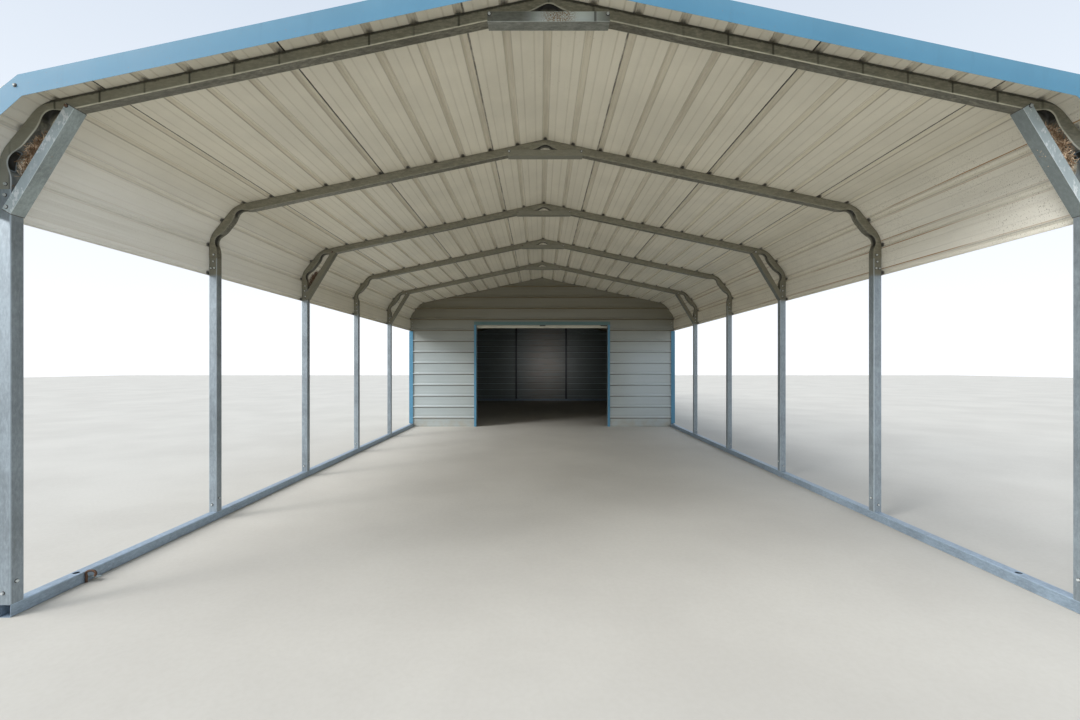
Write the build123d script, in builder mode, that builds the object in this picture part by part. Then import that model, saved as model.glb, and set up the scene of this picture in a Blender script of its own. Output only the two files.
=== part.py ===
"""Steel tube carport with rounded eaves and a closed shed in its rear half.

Millimetres, +Z up. The origin is on the ground, in the middle of the footprint. The open end faces -Y,
the shed fills the +Y half, and +X is to the right of someone who looks in at the open end.
"""

import math
import os

from build123d import *

# Frame
width = 5486.0  # over the outside of the legs
tube = 63.5
tube_wall = 2.0
bay_length = 1524.0
open_bays = 5
shed_bays = 5
peak_height = 3100.0  # top of the tube at the ridge
pitch = 12.0  # degrees
eave_setback = 217.0  # from the corner that the roof and leg lines would make to each of the two eave bends
bend_radius = 200.0
bow_foot = 100.0  # straight end of a bow below its last bend, down to the top of the leg

# Crushed inside of a tube bend
crushed_depth = 40.0  # what is left of the tube's depth in the middle of a bend
crush_reach = 128.0  # from there to the whole tube, along the outside
ridge_crush_reach = 112.0
groove_depth = 21.0  # from the outside of the tube to the bottom of the groove
groove_reach = 40.0  # half length of that bottom
groove_lip = 7.0

# Anchor holes through the base rails
anchor_hole_radius = 17.0
anchor_inset = 340.0  # from the middle of an end bow

# Ridge ties and knee braces, folded from channel
channel_gauge = 2.0
channel_depth = 50.0
tie_length = 610.0
tie_drop = 5.0
brace_drop = 126.0  # from the top of the leg down to the brace's lower end
brace_reach = 320.0

# Ribbed sheet
sheet_gauge = 1.2
sheet_clearance = 0.3
rib_pitch = 228.6
rib_height = 19.0
rib_foot = 22.0  # half width at the bottom
rib_crown = 8.0  # half width at the top
ribs_per_sheet = 4
ridge_sheet_ribs = 2  # on each side of the ridge
eave_drop = 100.0  # least length of sheet that hangs below the eave bends
roof_overhang = 165.0

# Folded trim
trim_gauge = 1.0
gable_trim_drop = 78.0
gable_trim_flange = 38.0
gable_trim_gap = 1.0
corner_trim_width = 80.0
trim_clearance = 5.0
notch_clearance = 2.0

# Shed doorway and its rolled-up door
door_width = 2743.0
door_height = 2120.0
jamb_trim_width = 45.0
jamb_return = 45.0
header_trim_width = 66.0
rear_post_spacing = 1829.0
guide_width = 60.0
guide_depth = 32.0
guide_gauge = 2.0
curtain_thickness = 8.0
roll_radius = 160.0
roll_rise = 190.0
axle_radius = 16.0
axle_clearance = 0.3
bracket_gauge = 5.0
bracket_width = 150.0
bottom_bar_height = 52.0
bottom_bar_depth = 24.0
bottom_bar_drop = 62.0

# What follows from those sizes
half = width / 2
leg_line = half - tube / 2
rail_top = tube
bay_count = open_bays + shed_bays
frame_span = bay_count * bay_length
bow_places = [place * bay_length - frame_span / 2 for place in range(bay_count + 1)]
front_face = bow_places[0] - tube / 2
rear_face = bow_places[-1] + tube / 2
wall_bow = bow_places[open_bays]
wall_face = wall_bow - tube / 2
walled_bows = (open_bays, bay_count)
free_bows = [place for place in range(bay_count + 1) if place not in walled_bows]
braced_bows = [place for place in free_bows if place % 2 == 0]
roof_front = front_face - roof_overhang
roof_length = rear_face + roof_overhang - roof_front
tilt = math.radians(pitch)
eave_turn = (math.pi / 2 - tilt) / 2
rib_slope = math.atan2(rib_height, rib_foot - rib_crown)
rib_crest = sheet_clearance + rib_height + 2 * sheet_gauge  # over a lapped rib
corner_height = (
    peak_height + bend_radius * (1 / math.cos(tilt) - 1) - half * math.tan(tilt)
)

# The outside line of a bow from the ridge down to the leg, as lengths and the turn that each takes
tangent = bend_radius * math.tan(eave_turn / 2)
slope_run = half / math.cos(tilt) - bend_radius * math.tan(tilt) - eave_setback - tangent
middle_run = 2 * (eave_setback * math.cos(eave_turn) - tangent)
leg_run = corner_height - eave_setback - tangent
bow_line = [
    (bend_radius * tilt, tilt),
    (slope_run, 0.0),
    (bend_radius * eave_turn, eave_turn),
    (middle_run, 0.0),
    (bend_radius * eave_turn, eave_turn),
    (leg_run, 0.0),
]
bow_stops = [sum(length for length, turn in bow_line[:n]) for n in range(len(bow_line))]
eave_bends = [bow_stops[2] + bow_line[2][0] / 2, bow_stops[4] + bow_line[4][0] / 2]
middle_stop = bow_stops[3] + middle_run / 2
ground_stop = bow_stops[5] + leg_run
leg_stop = bow_stops[5] + bow_foot
leg_top = leg_run - bow_foot

# Ribs are counted from the ridge, round the eave and down the side walls
eave_rib = math.ceil((bow_stops[5] + eave_drop) / rib_pitch)
first_wall_lap = eave_rib + 1
second_wall_lap = first_wall_lap + ribs_per_sheet
roof_laps = [ridge_sheet_ribs + row * ribs_per_sheet for row in range(3)]
ground_rib = math.ceil(ground_stop / rib_pitch)


def on_bow(along, off=0.0):
    """Point at a distance along the outside of a bow from the ridge, and a distance off it."""
    side = -1 if along < 0 else 1
    x, z, heading, left = 0.0, peak_height, 0.0, abs(along)
    for length, turn in bow_line:
        step = min(left, length)
        if turn:
            swing = turn * step / length
            x += bend_radius * (math.sin(heading + swing) - math.sin(heading))
            z -= bend_radius * (math.cos(heading) - math.cos(heading + swing))
            heading += swing
        else:
            x += step * math.cos(heading)
            z -= step * math.sin(heading)
        left -= step
        if left <= 0:
            break
    return side * (x + off * math.sin(heading)), z + off * math.cos(heading)


def heading(along):
    """Direction of the outside of a bow at a distance from the ridge."""
    return (Vector(*on_bow(along + 0.5)) - Vector(*on_bow(along - 0.5))).normalized()


def underside(x):
    """Height of the bottom of the straight part of a bow at a distance from the middle."""
    apex = peak_height + bend_radius * (1 / math.cos(tilt) - 1)
    return apex - x * math.tan(tilt) - tube / math.cos(tilt)


def trace(points, place, stops=()):
    """Draw a line through points given as distance and height, with arcs where the distance passes a bend."""
    for (from_s, from_h), (to_s, to_h) in zip(points, points[1:]):
        breaks = [s for s in stops if min(from_s, to_s) < s < max(from_s, to_s)]
        breaks = breaks if from_h == to_h else []
        ends = [from_s, *sorted(breaks, reverse=from_s > to_s), to_s]
        for start, end in zip(ends, ends[1:]):
            middle = place((start + end) / 2, (from_h + to_h) / 2)
            first, last = place(start, from_h), place(end, to_h)
            chord = [(first[i] + last[i]) / 2 for i in range(2)]
            if from_h == to_h and math.dist(middle, chord) > 0.001:
                ThreePointArc(first, middle, last)
            else:
                Line(first, last)


def upright(y):
    """Plane that faces -Y, with x to the right and z up."""
    return Plane(origin=(0, y, 0), x_dir=(1, 0, 0), z_dir=(0, -1, 0))


def crosswise(x):
    """Plane that faces +X, with y to the right and z up."""
    return Plane(origin=(x, 0, 0), x_dir=(0, 1, 0), z_dir=(1, 0, 0))


bend_stops = [side * stop for side in (-1, 1) for stop in bow_stops[1:]]


# Profile of the ribbed sheet
def rib_half_width(offset, height):
    """Half width of a rib at a height, on a surface that lies at an offset outside its inner face."""
    return rib_foot - height / math.tan(rib_slope) + offset / math.sin(rib_slope)


def rib(centre, offset, foot):
    """The four corners of a rib on a surface at an offset, standing on a flat at the foot height."""
    wide, narrow = rib_half_width(offset, foot), rib_half_width(offset, rib_height + offset)
    crest = rib_height + offset
    return [
        (centre - wide, foot),
        (centre - narrow, crest),
        (centre + narrow, crest),
        (centre + wide, foot),
    ]


def lap_over(centre, offset, foot, end):
    """A rib that lies over the next sheet's rib and ends at that rib's far foot, on side end."""
    corners = rib(centre, sheet_gauge + offset, foot)
    tip = rib_half_width(sheet_gauge, sheet_gauge)
    rise = offset * math.cos(rib_slope)
    spread = offset * math.sin(rib_slope)
    last = (centre + end * (tip + spread), sheet_gauge + rise)
    return corners[:3] + [last] if end > 0 else [last] + corners[1:]


def sheet_side(first, last, offset, ridge=False, cut=None):
    """One face of a sheet from rib to rib, as distances and heights. Cut ends it at a distance instead."""
    if ridge:
        points = lap_over(first * rib_pitch, offset, offset, -1)
    else:
        points = rib(first * rib_pitch, offset, offset)
        points[0] = (first * rib_pitch - rib_half_width(offset, 0.0), 0.0)
    for number in range(first + 1, last):
        points += rib(number * rib_pitch, offset, offset)
    if cut is None:
        return points + lap_over(last * rib_pitch, offset, offset, 1)
    return points + [(cut, offset)]


def sheet_outline(place, stops, **span):
    """Closed outline of a ribbed sheet, drawn in the current line."""
    inner = sheet_side(offset=0.0, **span)
    outer = sheet_side(offset=sheet_gauge, **span)
    trace(inner, place, stops)
    trace([inner[-1], outer[-1]], place)
    trace(outer[::-1], place, stops)
    trace([outer[0], inner[0]], place)


def on_roof(along, off):
    """Point of a roof or side wall sheet."""
    return on_bow(along, off + sheet_clearance)


eave_edge = on_roof(eave_rib * rib_pitch + rib_half_width(sheet_gauge, sheet_gauge), 0.0)[1]
wall_top_rib = on_bow(eave_rib * rib_pitch)[1]


# Base rails
def make_rail(side):
    with BuildPart() as rail:
        with BuildSketch(upright(rear_face)):
            with Locations((side * leg_line, tube / 2)):
                Rectangle(tube, tube)
                Rectangle(tube - 2 * tube_wall, tube - 2 * tube_wall, mode=Mode.SUBTRACT)
        extrude(amount=rear_face - front_face)
        with Locations(
            *[(side * leg_line, end * (frame_span / 2 - anchor_inset), tube / 2) for end in (-1, 1)]
        ):
            Cylinder(anchor_hole_radius, 2 * tube, mode=Mode.SUBTRACT)
    return rail


def make_cross_rails(spans, y):
    with BuildPart() as rails:
        for start, end in spans:
            with BuildSketch(crosswise(start)):
                with Locations((y, tube / 2)):
                    Rectangle(tube, tube)
                    Rectangle(tube - 2 * tube_wall, tube - 2 * tube_wall, mode=Mode.SUBTRACT)
            extrude(amount=end - start)
    return rails


# Legs
def make_legs(side):
    with BuildPart() as legs:
        with BuildSketch(Plane.XY.offset(rail_top)):
            with Locations(*[(side * leg_line, y) for y in bow_places]):
                Rectangle(tube, tube)
                Rectangle(tube - 2 * tube_wall, tube - 2 * tube_wall, mode=Mode.SUBTRACT)
        extrude(amount=leg_top - rail_top)
    return legs


# Bows, bent cold so that the inside of each bend is crushed
def crushed_wave(waves):
    """Inside of a bow as pairs of arcs, which pass points given as distance and depth along its heading."""
    ends = [(Vector(*on_bow(along, -depth)), heading(along)) for along, depth in waves]
    for (start, leave), (end, reach) in zip(ends, ends[1:]):
        chord, both = end - start, leave + reach
        bend = 2 * (1 - leave.dot(reach))
        pull = (math.sqrt(chord.dot(both) ** 2 + bend * chord.dot(chord)) - chord.dot(both)) / bend
        middle = (start + leave * pull + end - reach * pull) / 2
        TangentArc(start, middle, tangent=leave)
        TangentArc(end, middle, tangent=-reach)


def make_bow(y):
    with BuildPart() as bow:
        with BuildSketch(upright(y)):
            with BuildLine():
                trace([(0.0, 0.0), (leg_stop, 0.0)], on_bow, bend_stops)
                first, last = eave_bends[0] - crush_reach, eave_bends[1] + crush_reach
                Polyline(on_bow(leg_stop), on_bow(leg_stop, -tube), on_bow(last, -tube))
                crushed_wave(
                    [
                        (first, tube),
                        (eave_bends[0], crushed_depth),
                        (middle_stop, tube),
                        (eave_bends[1], crushed_depth),
                        (last, tube),
                    ]
                )
                Polyline(
                    on_bow(first, -tube),
                    on_bow(ridge_crush_reach, -tube),
                    on_bow(0.0, -crushed_depth),
                    on_bow(0.0),
                )
            make_face()
            mirror(about=Plane.YZ)
        extrude(amount=tube / 2, both=True)
        with BuildSketch(upright(y)):
            for centre in eave_bends:
                with BuildLine():
                    Polyline(
                        on_bow(centre - crush_reach, -tube),
                        on_bow(centre - groove_reach, -groove_depth),
                        on_bow(centre + groove_reach, -groove_depth),
                        on_bow(centre + crush_reach, -tube),
                        close=True,
                    )
                make_face()
            mirror(about=Plane.YZ)
        extrude(amount=tube / 2 - groove_lip, both=True, mode=Mode.SUBTRACT)
    return bow


# Channels that wrap the tubes from below
def make_ridge_ties():
    web_top = underside(tie_length / 2) - tie_drop
    flange_middle = web_top - channel_gauge + channel_depth / 2
    with BuildPart() as ties:
        for number in free_bows:
            y = bow_places[number]
            with BuildSketch(upright(y + tube / 2 + channel_gauge)):
                with Locations((0, flange_middle)):
                    Rectangle(tie_length, channel_depth)
            extrude(amount=tube + 2 * channel_gauge)
            with BuildSketch(upright(y + tube / 2)):
                with Locations((0, flange_middle + channel_gauge)):
                    Rectangle(2 * tie_length, channel_depth)
            extrude(amount=tube, mode=Mode.SUBTRACT)
    return ties


def make_knee_braces(side):
    inner = half - tube
    low = Vector(inner, leg_top - brace_drop)
    high = Vector(inner - brace_reach, underside(inner - brace_reach))
    run = (high - low).normalized()
    out = Vector(run.Y, -run.X)
    along_roof = Vector(math.cos(tilt), -math.sin(tilt))
    web_low = low + Vector(0, channel_gauge / out.Y)
    web_high = high + along_roof * (channel_gauge / along_roof.dot(out))
    flange = [low, high, high + out * channel_depth, low + out * channel_depth]
    web = [low, high, web_high, web_low]
    with BuildPart() as braces:
        for number in braced_bows:
            y = bow_places[number]
            for outline, depth in ((flange, tube), (web, 0.0)):
                with BuildSketch(upright(y)):
                    with BuildLine():
                        Polyline(*[(side * point.X, point.Y) for point in outline], close=True)
                    make_face()
                extrude(amount=tube / 2 + channel_gauge, both=True)
                if depth:
                    with BuildSketch(upright(y)):
                        with Locations((side * half, corner_height)):
                            Rectangle(width, width)
                    extrude(amount=depth / 2, both=True, mode=Mode.SUBTRACT)
    return braces


# Roof sheets, laid from the eaves up so that each laps over the rib of the one below
def make_roof_sheets(first, last):
    with BuildPart() as sheets:
        with BuildSketch(upright(roof_front + roof_length)):
            with BuildLine():
                sheet_outline(on_roof, bend_stops, first=first, last=last, ridge=first < 0)
            make_face()
            if first > 0:
                mirror(about=Plane.YZ)
        extrude(amount=roof_length)
    return sheets


def make_side_wall_sheets(first, last, cut=None):
    with BuildPart() as sheets:
        with BuildSketch(upright(rear_face)):
            with BuildLine():
                sheet_outline(on_roof, (), first=first, last=last, cut=cut)
            make_face()
            mirror(about=Plane.YZ)
        extrude(amount=rear_face - wall_face)
    return sheets


# End walls, with ribs level with those of the side walls
def end_wall_place(face, outward):
    def place(along, off):
        return face + outward * (off + sheet_clearance), wall_top_rib + eave_rib * rib_pitch - along

    return place


def make_end_wall_sheet(face, outward, first, last, cut=None, doorway=False):
    with BuildPart() as sheet:
        with BuildSketch(crosswise(-half)):
            with BuildLine():
                sheet_outline(
                    end_wall_place(face, outward), (), first=first, last=last, cut=cut
                )
            make_face()
        extrude(amount=width)
        with BuildSketch(upright(face)):
            with BuildLine():
                trace([(0.0, 0.0), (ground_stop, 0.0)], on_bow, bend_stops)
                Polyline(on_bow(ground_stop), (0.0, 0.0), on_bow(0.0))
            make_face()
            mirror(about=Plane.YZ)
        extrude(amount=tube, both=True, mode=Mode.INTERSECT)
        if doorway:
            with BuildSketch(upright(face)):
                with Locations((0, door_height / 2)):
                    Rectangle(door_width, door_height)
                notch = tube + notch_clearance
                with Locations(*[(side * (half - notch / 2), notch / 2) for side in (-1, 1)]):
                    Rectangle(notch, notch)
            extrude(amount=tube, both=True, mode=Mode.SUBTRACT)
    return sheet


# Folded trim
def make_gable_trims(y, outward):
    """Pair of plates over the sheet ends, kinked at each rib round the eave, with a flange on the ribs."""
    top = rib_crest + trim_gauge
    start = gable_trim_gap / 2
    kinks = [number * rib_pitch for number in range(eave_rib - 3, eave_rib)]
    end = eave_rib * rib_pitch + rib_foot
    with BuildPart() as trims:
        for level, thickness in ((-gable_trim_drop, trim_gauge), (rib_crest, -gable_trim_flange)):
            with BuildSketch(upright(y)):
                with BuildLine():
                    trace([(start, top), (kinks[0], top)], on_bow, bend_stops)
                    if thickness > 0:
                        Polyline(*[on_bow(s, top) for s in [*kinks, end]])
                        Polyline(*[on_bow(s, level) for s in [end, *kinks[::-1]]])
                        Line(on_bow(end, top), on_bow(end, level))
                    else:
                        Line(on_bow(kinks[0], top), on_bow(kinks[0], level))
                    trace([(kinks[0], level), (start, level)], on_bow, bend_stops)
                    Line(on_bow(start, level), on_bow(start, top))
                make_face()
                mirror(about=Plane.YZ)
            extrude(amount=-outward * thickness)
    return trims


def make_corner_trims(face, outward, bottom):
    """Pair of angles over the ribs of two walls that meet at a corner."""
    reach = rib_crest + trim_gauge
    with BuildPart() as trims:
        with BuildSketch(Plane.XY.offset(bottom)):
            for side in (-1, 1):
                corner = (side * (half + reach), face + outward * reach)
                for along, across in ((corner_trim_width, trim_gauge), (trim_gauge, corner_trim_width)):
                    middle = (corner[0] - side * along / 2, corner[1] - outward * across / 2)
                    with Locations(middle):
                        Rectangle(along, across)
        extrude(amount=eave_edge - trim_clearance - bottom)
    return trims


def make_jamb_trims():
    front = wall_face - rib_crest - trim_gauge
    with BuildPart() as trims:
        with BuildSketch(Plane.XY):
            for side in (-1, 1):
                opening = side * (door_width / 2 - trim_gauge)
                with Locations((opening + side * jamb_trim_width / 2, front + trim_gauge / 2)):
                    Rectangle(jamb_trim_width, trim_gauge)
                with Locations((opening + side * trim_gauge / 2, front + jamb_return / 2)):
                    Rectangle(trim_gauge, jamb_return)
        extrude(amount=door_height - trim_gauge)
    return trims


def make_header_trim():
    front = wall_face - rib_crest - trim_gauge
    bottom = door_height - trim_gauge
    length = door_width + 2 * (jamb_trim_width - trim_gauge)
    with BuildPart() as trim:
        with BuildSketch(crosswise(-length / 2)):
            with Locations((front + trim_gauge / 2, bottom + header_trim_width / 2)):
                Rectangle(trim_gauge, header_trim_width)
        extrude(amount=length)
        with BuildSketch(crosswise(-door_width / 2)):
            with Locations((front + jamb_return / 2, bottom + trim_gauge / 2)):
                Rectangle(jamb_return, trim_gauge)
        extrude(amount=door_width)
    return trim


# Posts and header
def make_posts(x, y):
    """Pair of posts from the base rail to the sloping underside of a bow."""
    with BuildPart() as posts:
        for side in (-1, 1):
            low, high = sorted((side * (x - tube / 2), side * (x + tube / 2)))
            with BuildSketch(upright(y + tube / 2)):
                with BuildLine():
                    Polyline(
                        (low, rail_top),
                        (high, rail_top),
                        (high, underside(abs(high))),
                        (low, underside(abs(low))),
                        close=True,
                    )
                make_face()
            extrude(amount=tube)
            with BuildSketch(Plane.XY.offset(rail_top)):
                with Locations((side * x, y)):
                    Rectangle(tube - 2 * tube_wall, tube - 2 * tube_wall)
            extrude(amount=peak_height, mode=Mode.SUBTRACT)
    return posts


def make_header():
    with BuildPart() as header:
        with BuildSketch(crosswise(-door_width / 2)):
            with Locations((wall_bow, door_height + tube / 2)):
                Rectangle(tube, tube)
                Rectangle(tube - 2 * tube_wall, tube - 2 * tube_wall, mode=Mode.SUBTRACT)
        extrude(amount=door_width)
    return header


# Rolled-up door behind the header
post_line = (door_width + tube) / 2
inner_face = wall_bow + tube / 2
curtain_line = inner_face + guide_depth / 2
roll_centre = (curtain_line - curtain_thickness / 2 + roll_radius, door_height + roll_rise)
bar_bottom = door_height - bottom_bar_drop
curtain_width = door_width + guide_width - 4 * guide_gauge


def make_guides():
    top = roll_centre[1] - roll_radius
    with BuildPart() as guides:
        with BuildSketch(Plane.XY):
            for side in (-1, 1):
                with Locations((side * (door_width / 2 + guide_width / 2 - guide_gauge), curtain_line)):
                    Rectangle(guide_width, guide_depth)
                with Locations((side * (door_width / 2 + guide_width / 2 - 2 * guide_gauge), curtain_line)):
                    Rectangle(guide_width, guide_depth - 2 * guide_gauge, mode=Mode.SUBTRACT)
        extrude(amount=top)
    return guides


def make_curtain():
    leaf_bottom = bar_bottom + bottom_bar_height
    with BuildPart() as curtain:
        with BuildSketch(crosswise(-curtain_width / 2)):
            with Locations(roll_centre):
                Circle(roll_radius)
            with Locations((curtain_line, (leaf_bottom + roll_centre[1]) / 2)):
                Rectangle(curtain_thickness, roll_centre[1] - leaf_bottom)
            with Locations(roll_centre):
                Circle(axle_radius + axle_clearance, mode=Mode.SUBTRACT)
        extrude(amount=curtain_width)
    return curtain


def make_bottom_bar():
    with BuildPart() as bar:
        with BuildSketch(crosswise(-curtain_width / 2)):
            with Locations((curtain_line, bar_bottom + bottom_bar_height / 2)):
                Rectangle(bottom_bar_depth, bottom_bar_height)
        extrude(amount=curtain_width)
    return bar


def make_brackets():
    """End plates on the posts, with the axle that the curtain rolls on."""
    plate_face = curtain_width / 2 + guide_gauge
    with BuildPart() as brackets:
        with BuildSketch(crosswise(-plate_face - bracket_gauge)):
            with Locations(roll_centre):
                Circle(axle_radius)
        extrude(amount=2 * (plate_face + bracket_gauge))
        for side in (-1, 1):
            outer = side * (plate_face + bracket_gauge) if side < 0 else plate_face
            with BuildSketch(crosswise(outer)):
                with BuildLine():
                    Polyline(
                        (inner_face, roll_centre[1] - bracket_width / 2),
                        (roll_centre[0] + bracket_width / 2, roll_centre[1] - bracket_width / 4),
                        (roll_centre[0] + bracket_width / 2, roll_centre[1] + bracket_width / 4),
                        (inner_face, roll_centre[1] + bracket_width / 2),
                        close=True,
                    )
                make_face()
            extrude(amount=bracket_gauge)
    return brackets


pieces = {
    "base_rail_left": make_rail(-1),
    "base_rail_right": make_rail(1),
    "rear_base_rail": make_cross_rails([(tube - half, half - tube)], bow_places[-1]),
    "doorway_base_rails": make_cross_rails(
        [(tube - half, -door_width / 2), (door_width / 2, half - tube)], wall_bow
    ),
    "legs_left": make_legs(-1),
    "legs_right": make_legs(1),
    "ridge_ties": make_ridge_ties(),
    "knee_braces_left": make_knee_braces(-1),
    "knee_braces_right": make_knee_braces(1),
    "ridge_sheet": make_roof_sheets(-roof_laps[0], roof_laps[0]),
    "upper_roof_sheets": make_roof_sheets(roof_laps[0], roof_laps[1]),
    "lower_roof_sheets": make_roof_sheets(roof_laps[1], roof_laps[2]),
    "eave_sheets": make_roof_sheets(roof_laps[2], eave_rib),
    "front_gable_trims": make_gable_trims(roof_front, -1),
    "rear_gable_trims": make_gable_trims(roof_front + roof_length, 1),
    "side_wall_top_sheets": make_side_wall_sheets(eave_rib, first_wall_lap),
    "side_wall_middle_sheets": make_side_wall_sheets(first_wall_lap, second_wall_lap),
    "side_wall_bottom_sheets": make_side_wall_sheets(second_wall_lap, ground_rib, ground_stop),
    "front_corner_trims": make_corner_trims(wall_face, -1, rail_top + trim_clearance),
    "rear_corner_trims": make_corner_trims(rear_face, 1, 0.0),
    "door_jamb_trims": make_jamb_trims(),
    "door_header_trim": make_header_trim(),
    "door_posts": make_posts(post_line, wall_bow),
    "door_header": make_header(),
    "rear_wall_posts": make_posts(rear_post_spacing / 2, bow_places[-1]),
    "door_guides": make_guides(),
    "door_curtain": make_curtain(),
    "door_bottom_bar": make_bottom_bar(),
    "door_brackets": make_brackets(),
}

for number, bow_y in enumerate(bow_places, start=1):
    pieces[f"bow_{number:02d}"] = make_bow(bow_y)

first_upper_lap = first_wall_lap - ribs_per_sheet
wall_rows = {
    "gable": (first_upper_lap - ribs_per_sheet, first_upper_lap, None),
    "upper": (first_upper_lap, first_wall_lap, None),
    "middle": (first_wall_lap, second_wall_lap, None),
    "bottom": (second_wall_lap, ground_rib, ground_stop),
}
for row_name, (top_rib, bottom_rib, cut) in wall_rows.items():
    front = make_end_wall_sheet(wall_face, -1, top_rib, bottom_rib, cut, row_name != "gable")
    pieces[f"front_wall_{row_name}_sheet"] = front
    rear = make_end_wall_sheet(rear_face, 1, top_rib, bottom_rib, cut)
    pieces[f"rear_wall_{row_name}_sheet"] = rear

os.makedirs("parts", exist_ok=True)
for piece_name, piece in pieces.items():
    piece.part.label = piece_name
    export_step(piece.part, f"parts/{piece_name}.step")
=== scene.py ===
"""Dressed carport: rounded folds, bent tubes, finishes, screws, ground anchor, nests and the stage."""

import math

import bmesh
import bpy
from bpy.props import FloatProperty, FloatVectorProperty, PointerProperty
from mathutils import Matrix, Vector, noise


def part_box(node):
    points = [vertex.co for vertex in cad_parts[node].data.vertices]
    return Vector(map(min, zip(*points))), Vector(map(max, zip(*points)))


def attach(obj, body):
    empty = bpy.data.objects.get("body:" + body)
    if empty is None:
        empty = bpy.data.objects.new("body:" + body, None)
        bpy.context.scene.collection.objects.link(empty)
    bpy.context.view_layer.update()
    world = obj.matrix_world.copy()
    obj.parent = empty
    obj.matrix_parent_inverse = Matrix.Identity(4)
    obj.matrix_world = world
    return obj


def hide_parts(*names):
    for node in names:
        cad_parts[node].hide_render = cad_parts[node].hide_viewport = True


bl_info = {
    "name": "Steel Tube Carport",
    "version": (1, 0, 0),
    "blender": (4, 5, 0),
    "location": "3D View > Sidebar > Carport",
    "description": "Dresses a steel tube carport with a shed in its rear half and sets its stage",
    "category": "Add Mesh",
}

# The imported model, and what its pieces say about the sizes
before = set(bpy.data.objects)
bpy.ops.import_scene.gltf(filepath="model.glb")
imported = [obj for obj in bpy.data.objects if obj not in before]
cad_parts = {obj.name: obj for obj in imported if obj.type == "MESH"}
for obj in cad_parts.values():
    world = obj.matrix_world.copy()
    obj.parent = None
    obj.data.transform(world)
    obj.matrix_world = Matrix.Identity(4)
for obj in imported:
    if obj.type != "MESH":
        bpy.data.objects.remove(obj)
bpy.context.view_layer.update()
bow_low, bow_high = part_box("bow_01")
half_width = bow_high.x
tube = bow_high.y - bow_low.y
ridge_height = bow_high.z
leg_top = bow_low.z
bow_names = sorted(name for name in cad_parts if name.startswith("bow_"))
bow_places = [sum(corner.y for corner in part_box(name)) / 2 for name in bow_names]
shed_bow = 5
wall_face = bow_places[shed_bow] - tube / 2
rear_face = bow_places[-1] + tube / 2
bay = bow_places[1] - bow_places[0]
roof_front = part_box("ridge_sheet")[0].y
roof_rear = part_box("ridge_sheet")[1].y
eave_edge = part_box("eave_sheets")[0].z
door_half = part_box("door_header")[1].x
# Outside of a sheet between its ribs, out from the legs, and how far its ribs rise over it
sheet_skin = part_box("front_wall_bottom_sheet")[1].x - half_width
rib_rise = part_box("side_wall_top_sheets")[1].x - half_width - sheet_skin
# Ribs on one sheet, and how far the sheet below reaches under the edge of the one above
sheet_ribs = 4
lap_reach = 0.024
# Bows with a ridge tie, and those of them with knee braces
tie_places = [y for number, y in enumerate(bow_places[:-1]) if number != shed_bow]
brace_places = [y for y in tie_places if bow_places.index(y) % 2 == 0]
BODY = "root"


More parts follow.
